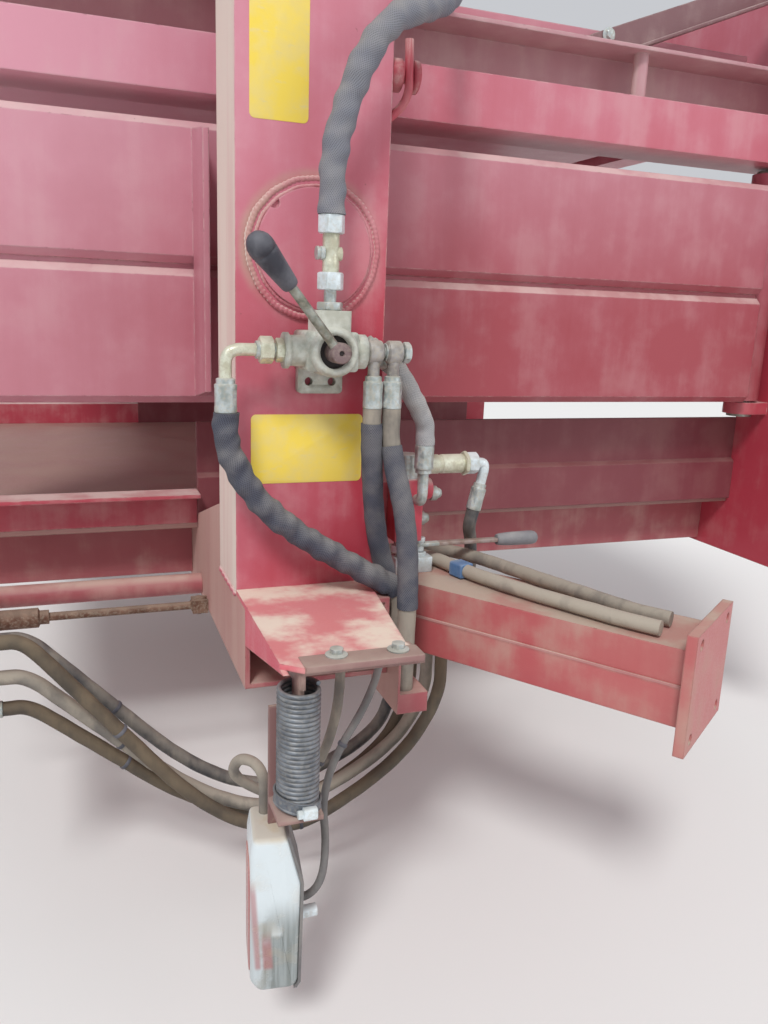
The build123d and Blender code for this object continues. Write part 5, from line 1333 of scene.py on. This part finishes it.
@dataclass
class LampSet:
    """One side's spring, its worm clip and the lamp under it."""

    side: Side
    finishes: Finishes
    places: Places
    wire: float = 0.0049
    wires_a_turn: float = 1.02
    steps_a_turn: int = 28
    clip_gap: float = 0.0014
    clip_up: float = 0.009
    clip_tilt: float = 0.006
    lamp_at: Point = (-86, 194, 0)
    lamp_turn: float = 8.0
    lamp_half: float = 0.035
    lamp_round: float = 0.007
    corner_reach: float = 5.0

    def helix(self, middle: Array, radius: float, angle: Array, level: Array) -> Array:
        """Points (r cos a, r sin a, level) about an upright axis."""
        return np.stack([middle[0] + radius * np.cos(angle), middle[1] + radius * np.sin(angle), level],
                        axis=-1)

    def spring(self) -> None:
        """The close-coiled spring: a round wire along a helix that falls a little over one wire a turn."""
        node = self.side.node("lamp_spring")
        low, high, middle = box_of(node)
        drop = high[2] - low[2] - self.wire
        turns = drop / (self.wire * self.wires_a_turn)
        angle = np.linspace(0, FULL_TURN * turns, int(turns * self.steps_a_turn))
        path = self.helix(middle, (high[0] - low[0] - self.wire) / 2, angle,
                          high[2] - self.wire / 2 - drop * angle / angle[-1])
        grid = carried(path, self.wire / 2 * outline_of_circle(12), Z_AXIS)
        Shell(node + "_coil").add(grid, self.finishes.spring_steel).build("bare_steel", node, sharp=60.0)

    def clip(self) -> None:
        """The worm clip round the spring's foot: a tilted band with a raised rim, its screw and housing."""
        low, high, middle = box_of(self.side.node("lamp_spring"))
        radius = (high[0] - low[0]) / 2 + self.clip_gap
        level = low[2] + self.clip_up
        angle = np.linspace(0, FULL_TURN, 65)
        path = self.helix(middle, radius, angle, level - self.clip_tilt * np.cos(angle))
        rim = np.array([(-6.5, -0.8), (6.5, -0.8), (6.5, 1.4), (5.0, 1.4), (4.6, 0.6), (-4.6, 0.6),
                        (-5.0, 1.4), (-6.5, 1.4)]) / 1000
        shell = Shell(self.side.node("lamp_clip")).add(carried(path, rim, Z_AXIS), self.finishes.spring_steel)
        front = np.array([middle[0] + 0.006, middle[1] + self.side.value * (radius + 0.004), level - 0.002])
        reach = 0.0075 * X_AXIS
        housing = front + np.array([-1.0, -0.9, 0.9, 1.0])[:, None] * reach
        shell.add(scaled(housing, (0.8, 1, 1, 0.8), outline_of_panel(0.013, 0.009, 0.003, 3), Z_AXIS),
                  self.finishes.bright_zinc)
        shell.add(hexagon_between(front - reach * 1.7, front - reach, 0.0085), self.finishes.bright_zinc)
        shell.build("zinc")

    def outline(self) -> Array:
        """The lamp's side view with round corners, each a quadratic bend between points 5 mm from it."""
        corner = np.array(LAMP_SIDE)
        start, end = (corner + self.corner_reach * unit(np.roll(corner, way, axis=0) - corner)
                      for way in (1, -1))
        t = np.linspace(0, 1, 7)[None, :, None]
        bend = (1 - t) ** 2 * start[:, None] + 2 * t * (1 - t) * corner[:, None] + t ** 2 * end[:, None]
        return bend.reshape(-1, 2) / 1000

    def lamp(self) -> None:
        """The lamp: its side view carried across, drawn in along a quarter circle at both sides, and its stud.

        At the angle a of the quarter circle of radius r the section is drawn in by r (1 - sin a) and lies
        r cos a from the side. The rear lens is a panel on the lamp's rear face, and a dark base plate follows
        its front.
        """
        side = self.side.value
        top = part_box(self.side.node("lamp_body"))[1][2]
        place = self.places.at(*self.lamp_at)
        turn = math.radians(self.lamp_turn) * side
        across = np.array([-math.sin(turn), math.cos(turn), 0.0])
        ahead = np.array([math.cos(turn), math.sin(turn), 0.0])
        centre = np.array([place[0], -side * place[1], top])
        outline = self.outline()
        angle = np.linspace(0, math.pi / 2, 6)
        drawn = self.lamp_round * (1 - np.sin(angle))
        reach = self.lamp_half - self.lamp_round + self.lamp_round * np.cos(angle)
        drawn, reach = np.concatenate([drawn, drawn[::-1]]), np.concatenate([-reach, reach[::-1]])
        low, high = outline.min(axis=0), outline.max(axis=0)
        middle = (high + low) / 2
        sections = middle + (outline - middle) * (1 - drawn[:, None, None] / ((high - low) / 2))
        body = Shell(self.side.node("lamp_body_dressed"))
        body.add(self.swept(centre, ahead, across, sections, reach), self.finishes.lamp_housing)
        # The base plate: a strip along the side view's front, 3.2 mm thick
        front = np.array([(13.0, 0.4), (28.2, -56.0), (26.2, -177.0), (22.0, -184.0)]) / 1000
        strip = np.concatenate([front + [0.0010, 0.0], front[::-1] - [0.0022, 0.0]])
        span = np.array([-0.0335, -0.032, 0.032, 0.0335])
        body.add(self.swept(centre, ahead, across, np.repeat(strip[None], 4, axis=0), span),
                 self.finishes.cable)
        # The stud that holds the lamp, and the lens, whose middle is 100 mm under the lamp's top
        stud = np.array([place[0] + 0.016, -side * (place[1] + 0.004), top - 0.1235])
        body.add(turned([(0, 0.0065), (0.0006, 0.007), (0.0335, 0.007), (0.034, 0.0065)], stud, X_AXIS,
                        outline_of_circle(32)), self.finishes.bright_zinc)
        body.build("lamp_housing", self.side.node("lamp_body"), sharp=50.0)
        path = centre - np.array([0.0262, 0.0268, 0.0278, 0.0282])[:, None] * ahead - 0.1 * Z_AXIS
        lens = scaled(path, (1, 1, 1, 0.95), outline_of_panel(0.132, 0.050, 0.008), Z_AXIS)
        Shell(self.side.node("lamp_lens_dressed")).add(lens, self.finishes.red_lens).build(
            "red_lens", self.side.node("lamp_lens"))

    def swept(self, centre: Array, ahead: Array, across: Array, sections: Array, reach: Array) -> Array:
        """Sections (x, z) carried across: centre + x ahead + z up + reach across, each with its own reach."""
        return centre + sections[..., :1] * ahead + reach[:, None, None] * across + sections[..., 1:] * Z_AXIS

    def build(self) -> None:
        """Make the spring, the clip, the lamp, and a smooth copy of its mounting."""
        self.spring()
        self.clip()
        self.lamp()
        SmoothCopy(self.side.node("lamp_mounting"), self.finishes.strap_paint, "bare_steel").build()


@dataclass
class Trim:
    """One side's bolts and thin bars: on the lamp's shelf, and on the stay above the rail."""

    side: Side
    finishes: Finishes
    places: Places
    across_flats: float = 0.013
    head: float = 0.0055
    washer_radius: float = 0.0115
    washer: float = 0.003
    bar_drop: float = 0.0029
    stay_foot: Point = (-0.450, 0.630, 0.443)
    lip_start: Point = (-0.410, 0.6425, 0.4238)
    lip_reach: Point = (0.344, 0.0, 0.1394)

    def bolts(self, name: str, feet: Sequence[Array], direction: Array) -> None:
        """Flange bolts as one piece, each a hexagon head on a domed washer.

        Args:
            name: The piece's name without its side.
            feet: Where each washer lies.
            direction: Which way the heads point.
        """
        radius = self.washer_radius
        dome = [(0, radius * 0.96), (0.0008, radius), (0.0022, radius), (0.0036, radius * 0.66)]
        shell = Shell(self.side.node(name))
        for foot in feet:
            shell.add(turned(dome, foot, direction, outline_of_circle(40)), self.finishes.dusty_zinc)
            shell.add(hexagon_between(foot + self.washer * direction,
                                      foot + (self.washer + self.head) * direction,
                                      self.across_flats), self.finishes.dusty_zinc)
        shell.build("zinc")

    def bar(self, name: str, path: Array, taper: float, size: tuple[float, float, float],
            finish: Material) -> None:
        """A flat bar along a path of four points, drawn in to a share of its size at both ends.

        Args:
            name: The piece's name without its side.
            path: The four points.
            taper: The share at the ends.
            size: Its height, its thickness and its corners' radius.
            finish: Its material.
        """
        grid = scaled(path, (taper, 1, 1, taper), outline_of_panel(*size), Y_AXIS)
        Shell(self.side.node(name)).add(grid, finish).build("frame_paint")

    def shelf(self) -> None:
        """The two bolts on the shelf, and the dusty bar along its outer edge, a hair above its sheet."""
        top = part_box(self.side.node("lamp_shelf"))[1][2]
        own_side = np.array([1, -self.side.value, 0])
        feet = self.places.line([(-31, 226, 0), (34, 229, 0)]) * own_side + top * Z_AXIS
        self.bolts("shelf_bolts", feet, Z_AXIS)
        path = self.places.line([(x, 233.5, 0) for x in (-69, -68, 56, 57)]) * own_side
        self.bar("shelf_edge", path + (top - self.bar_drop) * Z_AXIS, 0.9, (0.029, 0.0074, 0.0016),
                 self.finishes.strap_paint)

    def stay(self) -> None:
        """The bolt through the stay's foot, on its outer face, and the lip along the stay's lower edge."""
        own_side = np.array([1.0, self.side.value, 1.0])
        self.bolts("stay_bolt", [self.stay_foot * own_side], self.side.value * Y_AXIS)
        share = np.array([0.0, 0.004, 0.996, 1.0])[:, None]
        path = self.lip_start * own_side + share * self.lip_reach
        self.bar("stay_lip", path, 0.94, (0.029, 0.0052, 0.0014), self.finishes.channel_paint)

    def build(self) -> None:
        """Make them all."""
        self.shelf()
        self.stay()


@dataclass
class BlankPlates:
    """The two yellow plates on the right leg, left blank."""

    places: Places
    finish: Material
    film: float = 0.0005
    corner: float = 0.006

    def build(self) -> None:
        """Make both plates: a panel outline swept through the film's thickness."""
        table = [  # name, left, right, bottom, top, in millimetres from the leg's middle and the lever's hub
            ("upper_plate", -74, -8, 245, 420),
            ("lower_plate", -72, 66, -160, -77),
        ]
        for name, left, right, bottom, top in table:
            middle = self.places.at((left + right) / 2, 0, (bottom + top) / 2)
            outline = outline_of_panel((top - bottom) / 1000, (right - left) / 1000, self.corner)
            path = middle - self.film * np.array([0.0, 0.6, 1.0])[:, None] * Y_AXIS
            Shell(name).add(scaled(path, (1, 1, 0.994), outline, Z_AXIS), self.finish).build("frame_paint")


@dataclass
class WeldSeams:
    """Fillet welds where plates meet: a bead whose radius ripples along a straight or round path."""

    places: Places
    finishes: Finishes
    radius: float = 0.0032
    ripple: float = 0.0004
    pitch: float = 0.0055
    run_out: float = 0.004
    wander: float = 0.0006
    arm_end: float = 438.0
    arm_sides: tuple[float, float] = (4.0, 106.0)
    arm_levels: tuple[float, float] = (-297.0, -387.0)
    lap_at: tuple[float, float] = (-1.2, -363.5)
    lap_height: float = 0.047
    lap_rim: float = 0.0021
    disc_beads: tuple[Point, ...] = ((0.0762, 0.0014, 0.0036), (0.0682, 0.0040, 0.0022))

    def straight(self, start: Sequence[float], end: Sequence[float]) -> Array:
        """A bead between two points, four rings to a ripple: its radius at s is r + h sin(2 pi s / pitch)."""
        start, end = np.asarray(start, dtype=float), np.asarray(end, dtype=float)
        steps = max(8, int(np.linalg.norm(end - start) / self.pitch * 4))
        share = np.linspace(0, 1, steps)[:, None]
        path = start + share * (end - start) + self.wander * np.sin(share * 37.0 + np.array([0.0, 1.0, 2.0]))
        along = distance_along(path)
        radius = self.radius + self.ripple * np.sin(FULL_TURN * along / self.pitch)
        radius *= np.clip(np.minimum(along, along[-1] - along) / self.run_out, 0.35, 1.0)
        return scaled(path, radius, outline_of_circle(8))

    def legs(self) -> None:
        """The seams round both legs' feet."""
        for side in Side:
            low, high, _ = box_of(side.node("post"))
            foot = low[2]
            outer = side.value * self.places.post_face
            inner = high[1] if side is Side.RIGHT else low[1]
            shell = Shell(side.node("foot_weld"))
            for y in (outer, inner):
                shell.add(self.straight((low[0], y, foot), (high[0], y, foot)), self.finishes.frame_paint)
            for x in (low[0], high[0]):
                shell.add(self.straight((x, inner, foot), (x, outer, foot)), self.finishes.frame_paint)
            shell.build("frame_paint", sharp=80.0)

    def arm(self) -> None:
        """The seams at the arm's end plate."""
        shell = Shell("arm_weld")
        for level in self.arm_levels:
            ends = [self.places.on_arm(self.arm_end, offset, level) for offset in self.arm_sides]
            shell.add(self.straight(*self.places.line(ends)), self.finishes.frame_paint)
        shell.build("frame_paint", sharp=80.0)

    def disc(self, side: Side) -> None:
        """The beads round a leg's disc, (R cos a, R sin a) about its middle, a little uneven in both measures.

        Each row of ``disc_beads`` is R, the bead's height over the leg's face, and its own radius.

        Args:
            side: Which leg.
        """
        middle = box_of(side.node("side_ram"))[2]
        middle[1] = side.value * self.places.post_face
        shell = Shell(side.node("disc_welds"))
        for reach, out, bead in self.disc_beads:
            angle = np.linspace(0, FULL_TURN, int(FULL_TURN * reach / self.pitch * 5), endpoint=False)
            radius = reach + 0.0005 * np.sin(5 * angle) + 0.0003 * np.sin(17 * angle + 1.0)
            path = middle + np.stack([radius * np.cos(angle), np.full_like(angle, side.value * out),
                                      radius * np.sin(angle)], axis=-1)
            thick = bead * (1 + 0.10 * np.sin(FULL_TURN * reach * angle / self.pitch)
                            + 0.12 * np.sin(3 * angle))
            grid = scaled(path, thick, outline_of_circle(10), Y_AXIS, loop=True)
            shell.add(grid, self.finishes.post_paint, loop=True)
        shell.build("frame_paint", sharp=80.0)

    def lap(self) -> None:
        """The lower half of the arm's outer side, a folded sheet that laps over the upper half."""
        runs = (5.0, 5.6, self.arm_end - 0.6, self.arm_end)
        path = self.places.line([self.places.on_arm(run, *self.lap_at) for run in runs])
        ends = (0.96, 1, 1, 0.96)
        shell = Shell("arm_lap")
        sheet = outline_of_panel(self.lap_height, 0.0036, 0.0010)
        shell.add(scaled(path, ends, sheet, Z_AXIS), self.finishes.arm_paint)
        rim = path + self.lap_height / 2 * Z_AXIS
        shell.add(scaled(rim, ends, self.lap_rim * outline_of_circle(12)), self.finishes.beam_paint)
        shell.build("frame_paint")

    def build(self) -> None:
        """Lay every seam, and the sheet on the arm."""
        self.legs()
        self.arm()
        for side in Side:
            self.disc(side)
        self.lap()


# The scene round it


@dataclass
class Studio:
    """A pale floor, soft light and the photograph's camera."""

    eye: Point = (-1.28805, -1.91767, -0.00569)
    heading: float = 20.57
    pitch: float = -13.28
    roll: float = 2.16
    focal_px: float = 842.4
    image: tuple[int, int] = (768, 1024)
    floor_gap: float = 0.10

    def floor(self) -> None:
        """A wide pale floor below the object: a flat grid with one cell."""
        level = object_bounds()[0][2] - self.floor_gap
        reach = 14.0
        corners = [(-reach, -reach, level), (reach, -reach, level), (reach, reach, level),
                   (-reach, reach, level)]
        mesh = bpy.data.meshes.new("floor")
        mesh.from_pydata(corners, [], [(0, 1, 2, 3)])
        graph = Graph("pale_floor")
        mesh.materials.append(graph.surface(Base_Color=(0.80, 0.79, 0.77), Roughness=0.9))
        floor = bpy.data.objects.new("floor", mesh)
        bpy.context.scene.collection.objects.link(floor)
        floor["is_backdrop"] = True

    def light(self) -> None:
        """A plain pale surround, a large soft key from the upper left and a weak fill."""
        world = bpy.data.worlds.new("surround")
        bpy.context.scene.world = world
        world.use_nodes = True
        background = world.node_tree.nodes["Background"]
        background.inputs["Color"].default_value = (0.93, 0.95, 1.0, 1.0)
        background.inputs["Strength"].default_value = 0.62
        for name, turn, power, width in (("key", (42, 0, -32), 1.9, 14.0), ("fill", (68, 0, 48), 0.45, 40.0)):
            data = bpy.data.lights.new(name, "SUN")
            data.energy = power
            data.angle = math.radians(width)
            lamp = bpy.data.objects.new(name, data)
            lamp.rotation_euler = tuple(math.radians(angle) for angle in turn)
            bpy.context.scene.collection.objects.link(lamp)

    def camera(self) -> None:
        """The photograph's viewpoint: heading, then pitch, then roll, and its focal length in pixels."""
        data = bpy.data.cameras.new("photo_camera")
        data.sensor_fit = "VERTICAL"
        data.sensor_height = 24.0
        data.lens = data.sensor_height * self.focal_px / self.image[1]
        data.clip_start = 0.01
        camera = bpy.data.objects.new("photo_camera", data)
        turn = Euler((0, 0, -math.radians(self.heading))).to_matrix()
        turn = turn @ Euler((math.radians(90 + self.pitch), 0, 0)).to_matrix()
        turn = turn @ Euler((0, 0, math.radians(self.roll))).to_matrix()
        camera.matrix_world = turn.to_4x4()
        camera.location = self.eye
        bpy.context.scene.collection.objects.link(camera)
        bpy.context.scene.camera = camera

    def build(self) -> None:
        """Set the view, the floor, the light and the camera."""
        bpy.context.scene.view_settings.view_transform = "Standard"
        self.camera()
        self.light()
        self.floor()


def main() -> None:
    """Build the classes in order."""
    logging.basicConfig(level=logging.INFO, format="%(name)s: %(message)s")
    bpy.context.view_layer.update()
    Studio().build()
    finishes = Finishes()
    places = Places()
    for part in frame["record"]["subparts"]:
        materials = bpy.data.objects[part["node"]].data.materials
        materials.clear()
        materials.append(finishes.of_node(part["node"], part["material_slot"]))
    HeldHoses(places, finishes).build()
    station = ValveStation(places, finishes)
    station.build()
    SmoothCopy("selector_valve", finishes.cast_valve, "cast_valve", sharp=40.0).build()
    SmoothCopy("post_hook", finishes.lip_paint, "frame_paint").build()
    station.bundle_ends()
    for side in Side:
        LampSet(side, finishes, places).build()
    BlankPlates(places, finishes.plate_film).build()
    WeldSeams(places, finishes).build()
    for side in Side:
        Trim(side, finishes, places).build()


if __name__ == "__main__":
    main()
